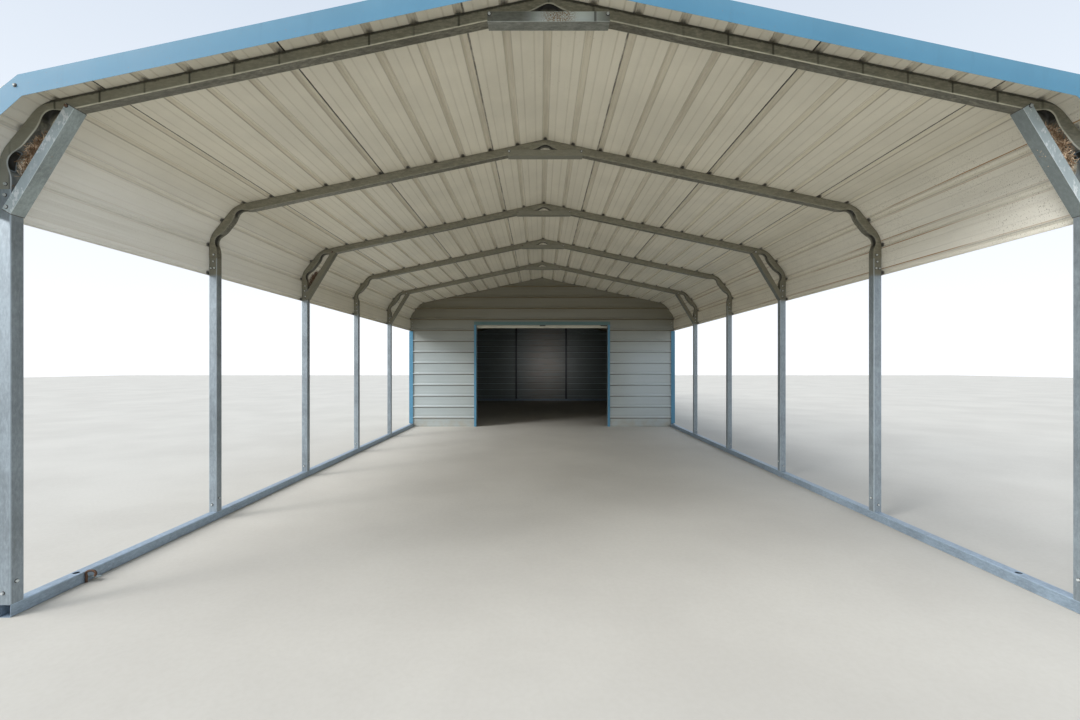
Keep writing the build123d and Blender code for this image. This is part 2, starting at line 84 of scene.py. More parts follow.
class CarportSizes(bpy.types.PropertyGroup):
    """Sizes of the bent tubes and the sheets that the boxes of the pieces don't give."""

    pitch: FloatProperty(
        name="Roof pitch", description="Slope of the roof", default=math.radians(12), subtype="ANGLE"
    )
    eave_setback: FloatProperty(
        name="Eave setback",
        description="From the corner of roof and leg lines to each eave bend",
        default=0.217,
        unit="LENGTH",
    )
    bend_radius: FloatProperty(
        name="Bend radius", description="Outside radius of a tube bend", default=0.2, unit="LENGTH"
    )
    crushed_depth: FloatProperty(
        name="Crushed depth", description="Depth of the tube in a bend", default=0.04, unit="LENGTH"
    )
    groove_depth: FloatProperty(
        name="Groove depth", description="Outside of the tube to the groove", default=0.009, unit="LENGTH"
    )
    crush_reach: FloatProperty(
        name="Crush reach", description="Middle of a bend to the whole tube", default=0.128, unit="LENGTH"
    )
    groove_reach: FloatProperty(
        name="Groove reach", description="Middle of a bend to the groove's end", default=0.118, unit="LENGTH"
    )
    dent: FloatProperty(
        name="Dents", description="Unevenness of a crushed tube", default=0.002, unit="LENGTH"
    )
    side_bulge: FloatProperty(
        name="Side bulge", description="How far a crushed tube swells sideways", default=0.0025, unit="LENGTH"
    )
    corner_radius: FloatProperty(
        name="Tube corner", description="Outside radius of a tube's edges", default=0.005, unit="LENGTH"
    )
    channel_fold: FloatProperty(
        name="Channel fold", description="Outside radius of a channel's folds", default=0.003, unit="LENGTH"
    )
    sheet_fold: FloatProperty(
        name="Sheet fold", description="How far a rib's fold is rounded", default=0.0045, unit="LENGTH"
    )
    trim_fold: FloatProperty(
        name="Trim fold", description="How far a trim's fold is rounded", default=0.0015, unit="LENGTH"
    )
    rib_pitch: FloatProperty(
        name="Rib pitch", description="Distance between two ribs", default=0.2286, unit="LENGTH"
    )
    sheet_wave: FloatProperty(
        name="Sheet wave", description="Height of the waves in thin sheet", default=0.0016, unit="LENGTH"
    )
    frame_head: FloatProperty(
        name="Frame screw", description="Half a screw head of the frame", default=0.0076, unit="LENGTH"
    )
    frame_washer: FloatProperty(
        name="Frame washer", description="Half a washer of the frame", default=0.0104, unit="LENGTH"
    )
    sheet_head: FloatProperty(
        name="Sheet screw", description="Half a screw head of a sheet", default=0.0050, unit="LENGTH"
    )
    sheet_washer: FloatProperty(
        name="Sheet washer", description="Half a washer of a sheet", default=0.0085, unit="LENGTH"
    )
    trim_head: FloatProperty(
        name="Trim screw", description="Half a screw head of a trim", default=0.0060, unit="LENGTH"
    )
    trim_washer: FloatProperty(
        name="Trim washer", description="Half a washer of a trim", default=0.0100, unit="LENGTH"
    )
    beside_rib: FloatProperty(
        name="Screw place", description="From a rib's middle to its screw", default=0.045, unit="LENGTH"
    )
    pencil_half: FloatProperty(
        name="Small fold", description="Half width of a small stiffening fold", default=0.007, unit="LENGTH"
    )
    pencil_rise: FloatProperty(
        name="Small fold rise", description="Height of a small stiffening fold", default=0.0013, unit="LENGTH"
    )


def sizes():
    """The carport's sizes, as the panel shows them."""
    return bpy.context.scene.carport_sizes


class BowLine:
    """Outside line of a bow from the ridge round the eave and down the leg, by distance from the ridge."""

    def __init__(self, values):
        turn = (math.pi / 2 - values.pitch) / 2
        radius = values.bend_radius
        tangent = radius * math.tan(turn / 2)
        corner = ridge_height + radius * (1 / math.cos(values.pitch) - 1)
        corner -= half_width * math.tan(values.pitch)
        slope = half_width / math.cos(values.pitch) - radius * math.tan(values.pitch)
        self.radius = radius
        self.runs = [
            (radius * values.pitch, values.pitch),
            (slope - values.eave_setback - tangent, 0.0),
            (radius * turn, turn),
            (2 * (values.eave_setback * math.cos(turn) - tangent), 0.0),
            (radius * turn, turn),
            (corner - values.eave_setback - tangent, 0.0),
        ]
        self.stops = [sum(length for length, _ in self.runs[:n]) for n in range(len(self.runs) + 1)]
        self.bends = [0.0] + [self.stops[n] + self.runs[n][0] / 2 for n in (2, 4)]
        self.ground = self.stops[-1]
        self.leg_top = self.ground - leg_top
        self.knots = self._knots()

    def _knots(self):
        """Start of each run as distance, point and heading."""
        knots = []
        x, z, heading, along = 0.0, ridge_height, 0.0, 0.0
        for length, turn in self.runs:
            knots.append((along, x, z, heading, length, turn))
            x, z = self._step(x, z, heading, length, turn, length)
            heading += turn
            along += length
        return knots

    def _step(self, x, z, heading, length, turn, step):
        """Point at some steps into a run that starts at x, z."""
        if not turn:
            return x + step * math.cos(heading), z - step * math.sin(heading)
        swing = heading + turn * step / length
        x += self.radius * (math.sin(swing) - math.sin(heading))
        return x, z - self.radius * (math.cos(heading) - math.cos(swing))

    def heading(self, along):
        """Downward angle of the line, for the side of positive distances."""
        for start, _, _, heading, length, turn in reversed(self.knots):
            if abs(along) >= start:
                return heading + turn * min(abs(along) - start, length) / length
        return 0.0

    def at(self, along, off=0.0):
        """Point (x, z) at a distance along the line and a distance outside it."""
        side = -1.0 if along < 0 else 1.0
        for start, x, z, heading, length, turn in reversed(self.knots):
            if abs(along) >= start:
                x, z = self._step(x, z, heading, length, turn, abs(along) - start)
                break
        angle = self.heading(along)
        return side * (x + off * math.sin(angle)), z + off * math.cos(angle)

    def along(self, x, z):
        """Distance along the line of the place nearest to a point, without its side."""
        best = (1e9, 0.0)
        for start, x0, z0, heading, length, turn in self.knots:
            if turn:
                cx, cz = x0 - self.radius * math.sin(heading), z0 - self.radius * math.cos(heading)
                angle = math.atan2(abs(x) - cx, z - cz) - heading
                step = min(max(angle / turn, 0.0), 1.0) * length
            else:
                run = (abs(x) - x0) * math.cos(heading) - (z - z0) * math.sin(heading)
                step = min(max(run, 0.0), length)
            px, pz = self._step(x0, z0, heading, length, turn, step)
            best = min(best, (math.hypot(abs(x) - px, z - pz), start + step))
        return best[1]


# Node trees of the finishes
class Finish:
    """A material that is painted coat by coat, with patterns on object coordinates."""

    def __init__(self, name, **constants):
        self.material = bpy.data.materials.new(name)
        self.material.use_nodes = True
        self.nodes = self.material.node_tree.nodes
        self.links = self.material.node_tree.links
        self.shader = self.nodes["Principled BSDF"]
        for socket, value in constants.items():
            self.shader.inputs[socket.replace("_", " ")].default_value = value
        self.place = self.add("ShaderNodeTexCoord").outputs["Object"]
        self.colour = None

    def add(self, kind, **settings):
        """Add a node with some of its settings."""
        node = self.nodes.new(kind)
        for name, value in settings.items():
            setattr(node, name, value)
        return node

    def put(self, socket, value):
        """Link a socket to another, or set its value."""
        if isinstance(value, bpy.types.NodeSocket):
            self.links.new(value, socket)
        else:
            socket.default_value = value

    def stretched(self, scale):
        """The place on the object, scaled along each axis."""
        node = self.add("ShaderNodeMapping")
        self.put(node.inputs["Vector"], self.place)
        node.inputs["Scale"].default_value = scale
        return node.outputs["Vector"]

    def noise(self, scale, detail=4.0, roughness=0.55, stretch=None):
        """Cloudy pattern between nothing and one, drawn out where its stretch is small."""
        node = self.add("ShaderNodeTexNoise")
        self.put(node.inputs["Vector"], self.stretched(stretch) if stretch else self.place)
        node.inputs["Scale"].default_value = scale
        node.inputs["Detail"].default_value = detail
        node.inputs["Roughness"].default_value = roughness
        return node.outputs["Fac"]

    def cells(self, scale):
        """A number between nothing and one for each crystal of the zinc."""
        node = self.add("ShaderNodeTexVoronoi")
        self.put(node.inputs["Vector"], self.place)
        node.inputs["Scale"].default_value = scale
        split = self.add("ShaderNodeSeparateColor")
        self.put(split.inputs["Color"], node.outputs["Color"])
        return split.outputs["Red"]

    def window(self, value, low, high, bottom=0.0, top=1.0):
        """Map a value between two limits to another range, smoothly."""
        node = self.add("ShaderNodeMapRange", interpolation_type="SMOOTHSTEP", clamp=True)
        self.put(node.inputs["Value"], value)
        for name, number in (("From Min", low), ("From Max", high), ("To Min", bottom), ("To Max", top)):
            node.inputs[name].default_value = number
        return node.outputs["Result"]

    def maths(self, operation, *values):
        """Result of one operation on sockets or numbers."""
        node = self.add("ShaderNodeMath", operation=operation)
        for socket, value in zip(node.inputs, values):
            self.put(socket, value)
        return node.outputs["Value"]

    def product(self, result, *factors):
        for factor in factors:
            result = self.maths("MULTIPLY", result, factor)
        return result

    def total(self, first, second):
        return self.maths("ADD", first, second)

    def less(self, first, second):
        return self.maths("SUBTRACT", first, second)

    def rest(self, share):
        """What a share leaves of one."""
        return self.less(1.0, share)

    def size(self, value):
        return self.maths("ABSOLUTE", value)

    def near(self, value, place, inner, outer):
        """One within the inner distance of a place, nothing beyond the outer one."""
        return self.window(self.size(self.less(value, place)), inner, outer, 1.0, 0.0)

    def from_nearest(self, value, pitch):
        """Distance of a value from the nearest multiple of a pitch."""
        place = self.maths("FRACT", self.total(self.maths("DIVIDE", value, pitch), 0.5))
        return self.product(self.size(self.less(place, 0.5)), pitch)

    def axis(self, name):
        """One axis of the place on the object."""
        node = self.add("ShaderNodeSeparateXYZ")
        self.put(node.inputs["Vector"], self.place)
        return node.outputs[name]

    def attribute(self, name):
        """A number that the mesh carries."""
        return self.add("ShaderNodeAttribute", attribute_name=name).outputs["Fac"]

    def facing(self, name):
        """One axis of the surface's own normal."""
        node = self.add("ShaderNodeSeparateXYZ")
        self.put(node.inputs["Vector"], self.add("ShaderNodeNewGeometry").outputs["Normal"])
        return node.outputs[name]

    def open_end(self):
        """One at the front bow, nothing from the second bow on."""
        return self.window(self.axis("Y"), bow_places[0] + 0.3 * bay, bow_places[0] + 0.7 * bay, 1.0, 0.0)

    def front_face(self):
        """One where a surface faces the open end."""
        return self.window(self.facing("Y"), -0.9, -0.6, 1.0, 0.0)

    def height_at_ridge(self):
        """Height that a place would have if it were moved up the roof's slope to the ridge."""
        slope = self.product(self.size(self.axis("X")), math.tan(sizes().pitch))
        return self.total(self.axis("Z"), slope)

    def blend(self, factor, first, second):
        """Colour between a first and a second one."""
        node = self.add("ShaderNodeMix", data_type="RGBA")
        self.put(node.inputs["Factor"], factor)
        ends = {socket.name: socket for socket in node.inputs if socket.type == "RGBA"}
        for end, value in (("A", first), ("B", second)):
            self.put(ends[end], value if isinstance(value, bpy.types.NodeSocket) else (*value, 1.0))
        return next(socket for socket in node.outputs if socket.type == "RGBA")

    def coat(self, share, colour):
        """Lay a colour over what is there, by a share between nothing and one."""
        self.colour = self.blend(share, self.colour, colour)

    def bump(self, height, strength, distance, under=None):
        """Normal of a fine relief, over another one if there is one under it."""
        node = self.add("ShaderNodeBump")
        self.put(node.inputs["Height"], height)
        node.inputs["Strength"].default_value = strength
        node.inputs["Distance"].default_value = distance
        if under:
            self.put(node.inputs["Normal"], under)
        return node.outputs["Normal"]

    def done(self, roughness, normal):
        """The finished material."""
        self.put(self.shader.inputs["Base Color"], self.colour)
        self.put(self.shader.inputs["Roughness"], roughness)
        self.put(self.shader.inputs["Normal"], normal)
        return self.material


class CarportFinishes(bpy.types.PropertyGroup):
    """Colours of the carport's finishes."""

    # Also laid as painted shade on the legs above the eave's edge
    zinc: FloatVectorProperty(
        name="Weathered zinc",
        description="Bows under the roof",
        default=(0.215, 0.205, 0.155),
        subtype="COLOR",
    )
    clean_zinc: FloatVectorProperty(
        name="Clean zinc", description="Legs, rails and posts", default=(0.27, 0.315, 0.345), subtype="COLOR"
    )
    # Painted shade: a very dark copy of the zinc for the posts in the shade inside the shed
    shade_dark_zinc: FloatVectorProperty(
        name="Zinc darkened for shade", description="Posts inside the shed", default=(0.075, 0.085, 0.10), subtype="COLOR"
    )
    rail_zinc: FloatVectorProperty(
        name="Rail zinc", description="Base rails", default=(0.30, 0.38, 0.46), subtype="COLOR"
    )
    tie_zinc: FloatVectorProperty(
        name="Tie zinc", description="Ridge ties and door guides", default=(0.30, 0.31, 0.27), subtype="COLOR"
    )
    brace_zinc: FloatVectorProperty(
        name="Brace zinc", description="Knee braces", default=(0.37, 0.43, 0.43), subtype="COLOR"
    )
    rust: FloatVectorProperty(
        name="Rust", description="Rust specks and runs", default=(0.17, 0.075, 0.03), subtype="COLOR"
    )
    backer: FloatVectorProperty(
        name="Backer coat", description="Inside of the roof", default=(0.67, 0.625, 0.505), subtype="COLOR"
    )
    # Painted shade and sky light: a darker, bluer copy of a pale backer coat for the siding's inside, in the
    # shade of the shed
    lining_in_shade: FloatVectorProperty(
        name="Lining coat", description="Inside of the siding", default=(0.30, 0.35, 0.36), subtype="COLOR"
    )
    paint: FloatVectorProperty(
        name="Sheet paint",
        description="Outside of roof and walls",
        default=(0.37, 0.41, 0.40),
        subtype="COLOR",
    )
    blue: FloatVectorProperty(
        name="Blue trim", description="Gable and corner trims", default=(0.097, 0.240, 0.345), subtype="COLOR"
    )
    teal: FloatVectorProperty(
        name="Header trim",
        description="Trim over the doorway",
        default=(0.135, 0.205, 0.193),
        subtype="COLOR",
    )
    pale: FloatVectorProperty(
        name="Door", description="Curtain and bottom bar", default=(0.60, 0.57, 0.46), subtype="COLOR"
    )
    # Colour of real dirt, and also of painted shade along rib creases, small folds and downward rib faces
    grime_and_shade: FloatVectorProperty(
        name="Grime and painted shade",
        description="Dirt beside ribs and under screws",
        default=(0.20, 0.145, 0.08),
        subtype="COLOR",
    )


def finishes():
    """The carport's colours, as the panel shows them."""
    return bpy.context.scene.carport_finishes


def zinc_start(made, base, streak_stretch, grit):
    """Weathered zinc with blotches, streaks along the tube, a grain as strong as its grit, and crystals."""
    blotches = made.noise(5.0, 5.0, 0.6)
    streaks = made.noise(14.0, 4.0, 0.6, stretch=streak_stretch)
    grain = made.noise(75.0, 3.0, 0.75, stretch=tuple(max(share, 0.35) for share in streak_stretch))
    made.colour = made.blend(made.window(blotches, 0.3, 0.7), base * 0.84, base * 1.14)
    made.coat(made.window(streaks, 0.45, 0.75, 0.0, 0.4), base * 0.66)
    made.coat(made.window(grain, 0.48, 0.62, 0.0, grit), base * 0.40)
    made.coat(made.window(grain, 0.36, 0.48, grit, 0.0), base * 1.6)
    made.coat(made.window(made.cells(90.0), 0.0, 1.0, 0.0, 0.4 * grit), base * 0.6)
    return blotches, streaks


def zinc_end(made, blotches, rust_share):
    """Finish a zinc colour with rust specks and an uneven sheen."""
    specks = made.window(made.noise(160.0, 2.0, 0.7), 0.62, 0.7)
    patches = made.window(made.noise(3.3, 3.0), 0.52, 0.72)
    made.coat(made.product(specks, patches, rust_share), finishes().rust)
    normal = made.bump(made.noise(9.0, 2.0), 0.5, 0.0016)
    normal = made.bump(made.noise(220.0, 3.0, 0.6), 0.25, 0.0003, normal)
    return made.done(made.window(blotches, 0.25, 0.75, 0.38, 0.58), normal)


def zinc_finish(name, base, streak_stretch, rust_share):
    """Weathered zinc of legs, rails, posts and guides.

    Before the shed it is olive above the edge of the eave, except at the open end: weathered zinc and painted
    shade of the eave. Its rounded edges carry a painted highlight.
    """
    base = Vector(base)
    made = Finish(name, Metallic=0.45, IOR=1.6)
    blotches, _ = zinc_start(made, base, streak_stretch, 0.22)
    # Painted shade: olive zinc above the eave's edge, where the eave shades the legs
    above = made.window(made.axis("Z"), eave_edge - 0.015, eave_edge + 0.02, 0.0, 0.9)
    before_shed = made.window(made.axis("Y"), wall_face, wall_face + 0.1, 1.0, 0.0)
    made.coat(made.product(above, before_shed, made.rest(made.open_end())), finishes().zinc)
    # Painted highlight along the rounded edges
    made.coat(made.product(made.attribute("fold"), 0.35), base * 1.9)
    return zinc_end(made, blotches, rust_share)


def crushed_bends(made, base, exposed, washed_and_highlit, streaks):
    """Painted highlight on the lips and painted shade with some grime in the troughs of a bow, with a painted
    blue reflection beside the troughs where it is washed.
    """
    # Painted highlight along the lips, pale blue where the zinc is washed
    edge = made.window(made.noise(11.0), 0.3, 0.6, 0.45, 1.0)
    edge = made.product(made.attribute("lip"), edge, made.window(exposed, 0.0, 1.0, 0.22, 1.0))
    made.coat(edge, made.blend(washed_and_highlit, base * 2.6, (0.66, 0.72, 0.74)))
    # Painted shade with some grime, darkest deep in the troughs
    trough = made.attribute("trough")
    made.coat(made.window(trough, 0.08, 0.62, 0.0, 0.94), base * 0.10)
    # Painted blue reflection on the trough walls
    groove_reflection = made.near(trough, 0.42, 0.02, 0.07)
    groove_reflection = made.product(groove_reflection, made.window(streaks, 0.35, 0.6, 0.5, 1.0), washed_and_highlit)
    made.coat(groove_reflection, (0.42, 0.52, 0.62))


def bow_drips_and_roof_shade(made, base, front):
    """Dark drips below the ribs and painted shade along the roof, on the front of the first bow."""
    rib_spacing = sizes().rib_pitch * math.cos(sizes().pitch)
    place = made.maths("FRACT", made.maths("DIVIDE", made.size(made.axis("X")), rib_spacing))
    wander = made.noise(9.0, 3.0, 0.5, stretch=(1.0, 1.0, 0.25))
    off = made.total(made.size(made.less(place, 0.5)), made.product(wander, 0.05))
    drip = made.window(made.noise(2.3, 1.0), 0.38, 0.58, 0.1, 0.85)
    made.coat(made.product(made.window(off, 0.486, 0.520), drip, front), base * 0.12)
    # Painted shade along the top of the front face, under the roof
    height = made.total(made.height_at_ridge(), made.product(made.noise(38.0, 3.0, 0.7), 0.016))
    rim = made.window(height, ridge_height - 0.006, ridge_height + 0.001, 0.0, 0.85)
    made.coat(made.product(rim, front), base * 0.14)


def bow_finish(name):
    """Olive zinc of the bows: painted highlights on the lips, painted shade and grime in the troughs, painted
    light on the front faces, and at the open end painted shade on the undersides, drips and washed feet with
    a painted highlight.
    """
    base = Vector(finishes().zinc)
    made = Finish(name, Metallic=0.45, IOR=1.6)
    blotches, streaks = zinc_start(made, base, (0.08, 1.0, 1.0), 0.72)
    exposed, front = made.open_end(), made.front_face()
    # Clean washed zinc low on the bows at the open end, partly a painted highlight
    washed_and_highlit = made.window(made.axis("Z"), leg_top + 0.05, leg_top + 0.42, 0.85, 0.0)
    washed_and_highlit = made.product(washed_and_highlit, made.window(blotches, 0.3, 0.6, 0.5, 1.0), exposed)
    made.coat(washed_and_highlit, finishes().clean_zinc)
    made.coat(made.less(0.25, made.product(exposed, 0.25)), base * 0.5)
    # Painted light: front faces lighter, more so at the open end towards the left
    lit = made.product(made.window(made.axis("X"), -2.2, 0.0, 0.35, 0.0), exposed)
    made.coat(made.product(front, made.total(lit, 0.33)), base * 1.6)
    # Painted shade on the undersides at the open end
    under = made.window(made.facing("Z"), -0.95, -0.85, 1.0, 0.0)
    under = made.product(under, made.window(streaks, 0.3, 0.6, 0.7, 0.25), exposed)
    made.coat(under, base * 0.4)
    crushed_bends(made, base, exposed, washed_and_highlit, streaks)
    bow_drips_and_roof_shade(made, base, made.product(front, exposed))
    return zinc_end(made, blotches, 0.5)


def brace_run():
    """Direction of the right braces from foot to head, and how far along it their two ends are."""
    corners = [vertex.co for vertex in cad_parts["knee_braces_right"].data.vertices]
    lowest = min(corners, key=lambda corner: corner.z)
    highest = max(corners, key=lambda corner: corner.z)
    innermost = min(corners, key=lambda corner: corner.x)
    outermost = max(corners, key=lambda corner: corner.x)
    run = Vector((innermost.x - lowest.x, 0.0, innermost.z - lowest.z)).normalized()
    along = [corner.dot(run) for corner in (lowest, outermost, highest, innermost)]
    return run, (min(along), max(along))


def brace_finish(name):
    """Zinc of the knee braces: a front flange lightened by painted light at the open end, with white runs and
    painted highlights on the folds there, painted shade on the webs of the right braces, and olive farther
    in.
    """
    base = Vector(finishes().brace_zinc)
    made = Finish(name, Metallic=0.45, IOR=1.6)
    blotches, _ = zinc_start(made, base, (1.0, 1.0, 0.1), 0.22)
    exposed, front = made.open_end(), made.front_face()
    made.colour = made.blend(exposed, finishes().zinc, made.colour)
    flange = made.product(front, exposed)
    # Painted light: the front flange paler and bluer at the open end
    made.coat(made.product(flange, 0.62), (0.66, 0.76, 0.80))
    # Painted shade on the webs of the right braces
    shade = made.product(made.window(made.axis("X"), -1.0, 1.0), made.rest(front), 0.6)
    made.coat(shade, base * 0.42)
    runs = made.window(made.noise(48.0, 4.0, 0.65, stretch=(1.0, 1.0, 0.5)), 0.54, 0.62)
    runs = made.product(runs, made.window(blotches, 0.35, 0.55, 0.3, 0.9), flange)
    made.coat(runs, (0.88, 0.92, 0.94))
    # Painted highlight along the rounded folds at the open end
    made.coat(made.product(made.attribute("fold"), exposed, 0.8), (0.80, 0.86, 0.88))
    run, ends = brace_run()
    place = made.product(made.size(made.axis("X")), run.x)
    place = made.total(place, made.product(made.axis("Z"), run.z))
    cut = made.maths("MAXIMUM", *(made.near(place, end, 0.0025, 0.0045) for end in ends))
    made.coat(made.product(cut, 0.85), (0.05, 0.035, 0.025))
    return zinc_end(made, blotches, 0.5)


def tie_finish(name):
    """Zinc of the ridge ties, whose front one has a painted pale sheen in the middle, rusts there and has a
    drip; folds at the open end carry a painted highlight.
    """
    base = Vector(finishes().tie_zinc)
    made = Finish(name, Metallic=0.45, IOR=1.6)
    blotches, streaks = zinc_start(made, base * 0.8, (0.1, 1.0, 1.0), 0.4)
    olive = made.blend(0.7, made.colour, Vector(finishes().zinc) * 1.2)
    made.colour = made.blend(made.open_end(), olive, made.colour)
    exposed = made.product(made.open_end(), made.front_face())
    made.coat(made.product(exposed, 0.5), base * 0.45)
    across = made.axis("X")
    # Painted sheen: a pale band across the middle of the front tie
    pale = made.near(across, 0.09, 0.08, 0.24)
    pale = made.product(pale, exposed, made.window(streaks, 0.3, 0.7, 0.85, 0.6))
    made.coat(pale, (0.82, 0.90, 0.88))
    spots = made.window(made.noise(150.0, 3.0, 0.65), 0.45, 0.53, 0.0, 0.9)
    spots = made.product(spots, made.near(across, 0.05, 0.03, 0.11), exposed)
    made.coat(spots, (0.27, 0.155, 0.055))
    # Painted highlight along the rounded folds at the open end
    made.coat(made.product(made.attribute("fold"), made.open_end(), 0.7), (0.66, 0.70, 0.66))
    made.coat(made.product(made.near(across, 0.232, 0.004, 0.008), exposed, 0.7), (0.05, 0.05, 0.05))
    return zinc_end(made, blotches, 1.0)


def lap_shadow(made, along):
    """Thin dark line along the edge of the sheet below at each lap of the roof."""
    row = sheet_ribs * sizes().rib_pitch
    distance = made.from_nearest(made.less(along, row / 2 - lap_reach), row)
    ragged = made.product(made.noise(70.0, 3.0, 0.7, stretch=(1.0, 0.3, 1.0)), 0.004)
    line = made.window(made.total(distance, ragged), 0.0062, 0.0086, 1.0, 0.0)
    broken = made.window(made.noise(16.0, 5.0, 0.7, stretch=(1.0, 0.3, 1.0)), 0.40, 0.60, 0.3, 0.8)
    broken = made.maths("MAXIMUM", broken, made.window(along, 0.8 * row, row))
    on_roof = made.window(along, 2.6 * row, 2.7 * row, 1.0, 0.0)
    made.coat(made.product(line, broken, on_roof), (0.022, 0.017, 0.012))


def weathered_and_lit_eave(made, along, near, lines):
    """Painted light as a paler coat towards the open end of the eave, strongest on the left, with rust beside
    its ribs and brown flecks.
    """
    # Painted light: the lower eave paler near the open end, most on the left side
    painted_eave_light = made.product(
        made.window(along, 2.4, 3.1),
        made.window(made.axis("X"), -1.0, 1.0, 0.95, 0.45),
        made.window(made.axis("Y"), bow_places[0], bow_places[3], 1.0, 0.1),
    )
    made.coat(painted_eave_light, made.blend(made.window(lines, 0.4, 0.8), (0.92, 0.92, 0.88), (0.80, 0.79, 0.74)))
    eave = made.window(along, 2.5, 2.7)
    worse = made.window(made.axis("X"), -1.0, 1.0, 0.15, 1.0)
    beside = made.total(made.size(made.less(near, 0.030)), made.product(lines, 0.004))
    stain = made.window(beside, 0.0035, 0.0065, 1.0, 0.0)
    patchy = made.window(made.noise(0.9, 2.0, stretch=(3.0, 1.0, 3.0)), 0.42, 0.6, 0.25, 1.0)
    made.coat(made.product(stain, eave, patchy, worse), (0.33, 0.17, 0.05))
    flecks = made.window(made.noise(165.0, 2.0, 0.6), 0.62, 0.68, 0.0, 0.75)
    flecks = made.product(flecks, made.window(made.noise(1.3, 2.0), 0.38, 0.56), worse, eave)
    made.coat(flecks, Vector(finishes().grime_and_shade) * 0.6)


def rib_hollow_shadows(made, near):
    """Painted shadow, with some dirt, in the hollow of each rib where it crosses a bow, faint at the front
    one.
    """
    distance = made.from_nearest(made.less(made.axis("Y"), bow_places[0]), bay)
    # Painted shadow inside each rib beside a bow
    hollow = made.window(distance, 0.030, 0.038, 1.0, 0.0)
    hollow = made.product(hollow, made.window(near, 0.010, 0.020, 0.7, 0.0))
    inner = made.window(made.axis("Y"), bow_places[0] + 0.4 * bay, bow_places[0] + 0.6 * bay, 0.15, 1.0)
    made.coat(made.product(hollow, inner), (0.02, 0.018, 0.014))


def backer_finish(name, base, streaks, roof=False):
    """Pale coat on the inside of a sheet, with stains beside the ribs, streaks and specks, and painted light
    and shade along the ribs, small folds and rib faces.
    """
    base = Vector(base)
    grime_and_shade = finishes().grime_and_shade
    made = Finish(name, IOR=1.45)
    along = made.attribute("along")
    near = made.from_nearest(along, sizes().rib_pitch)
    low_down = made.window(along, 1.0, 2.2)
    clouds = made.noise(1.6, 5.0, 0.6)
    lines = made.noise(26.0, 4.0, 0.65, stretch=streaks)
    fine = made.noise(120.0, 3.0, 0.7, stretch=streaks)
    made.colour = made.blend(made.window(clouds, 0.3, 0.7), base * 0.93, base * 1.06)
    made.coat(made.window(lines, 0.5, 0.8, 0.0, 0.22), base * 0.74)
    made.coat(made.window(fine, 0.55, 0.8, 0.0, 0.25), base * 0.78)
    foot = made.product(made.window(near, 0.021, 0.030, 1.0, 0.0), made.window(lines, 0.35, 0.7))
    made.coat(made.product(foot, made.window(low_down, 0.0, 1.0, 0.24, 0.12)), grime_and_shade)
    # Painted light inside the rib channels, lower down the sheet, against their shade
    made.coat(made.product(made.window(near, 0.016, 0.021, 0.5, 0.0), low_down), base * 1.2)
    # On the roof painted shade with brown dirt along the rib creases, on the siding a painted highlight
    crease = made.near(near, 0.022, 0.0016, 0.0040)
    if roof:
        crease = made.product(crease, made.window(low_down, 0.0, 1.0, 0.26, 0.46))
    made.coat(crease, (0.12, 0.085, 0.045) if roof else base * 3.0)
    # Painted shade along the small stiffening folds, in the grime colour
    share = made.maths("FRACT", made.maths("DIVIDE", along, sizes().rib_pitch))
    third = made.near(made.size(made.less(share, 0.5)), 1 / 6, 0.008, 0.03)
    made.coat(made.product(third, made.window(lines, 0.3, 0.6, 0.28, 0.12)), grime_and_shade)
    specks = made.window(made.noise(75.0, 2.0, 0.7), 0.66, 0.74)
    made.coat(made.product(specks, made.window(made.noise(2.4, 3.0), 0.5, 0.7), 0.6), grime_and_shade)
    if roof:
        weathered_and_lit_eave(made, along, near, lines)
        lap_shadow(made, along)
        rib_hollow_shadows(made, near)
    else:
        # Painted light on upward faces and painted shade on downward faces
        rise = made.facing("Z")
        made.coat(made.window(rise, 0.1, 0.5, 0.0, 0.8), base * 2.4)
        made.coat(made.window(rise, -0.5, -0.1, 0.8, 0.0), base * 0.08)
        # Brown film in the middle of the wall, partly a painted warm glow
        brown = made.window(lines, 0.35, 0.6, 0.0, 0.45)
        made.coat(made.product(made.near(made.axis("X"), 0.15, 0.2, 1.1), brown), (0.36, 0.27, 0.20))
    roughness = made.window(clouds, 0.2, 0.8, 0.36, 0.52)
    return made.done(roughness, made.bump(made.noise(120.0, 2.0), 0.12, 0.0004))


def sheltered_coat(made, lines):
    """Painted light and shade on the faces of ribs, a painted sheen at both sides, and a brown film with
    painted shade high on the wall under the roof.
    """
    # Painted light on upward faces and painted shade on downward faces
    rise = made.facing("Z")
    made.coat(made.window(rise, 0.1, 0.5, 0.0, 0.6), (0.62, 0.68, 0.70))
    made.coat(made.window(rise, -0.5, -0.1, 0.75, 0.0), Vector(finishes().grime_and_shade) * 0.3)
    # Painted sheen: a reflection of the bright sides near both ends of the wall
    sheen = made.product(
        made.near(made.size(made.axis("X")), 2.2, 0.1, 0.85),
        made.near(made.axis("Z"), 1.0, 0.3, 1.3),
        made.window(made.axis("X"), -0.5, 0.5, 0.2, 0.55),
        made.window(lines, 0.2, 0.7, 0.75, 1.0),
    )
    made.coat(sheen, (0.56, 0.65, 0.70))
    # Brown film with painted shade, darker towards the top of the wall under the roof
    film_and_roof_shade = made.window(made.axis("Z"), 1.25, leg_top + 0.40, 0.0, 0.8)
    made.coat(made.product(film_and_roof_shade, made.window(lines, 0.2, 0.8, 1.0, 0.88)), (0.111, 0.079, 0.018))


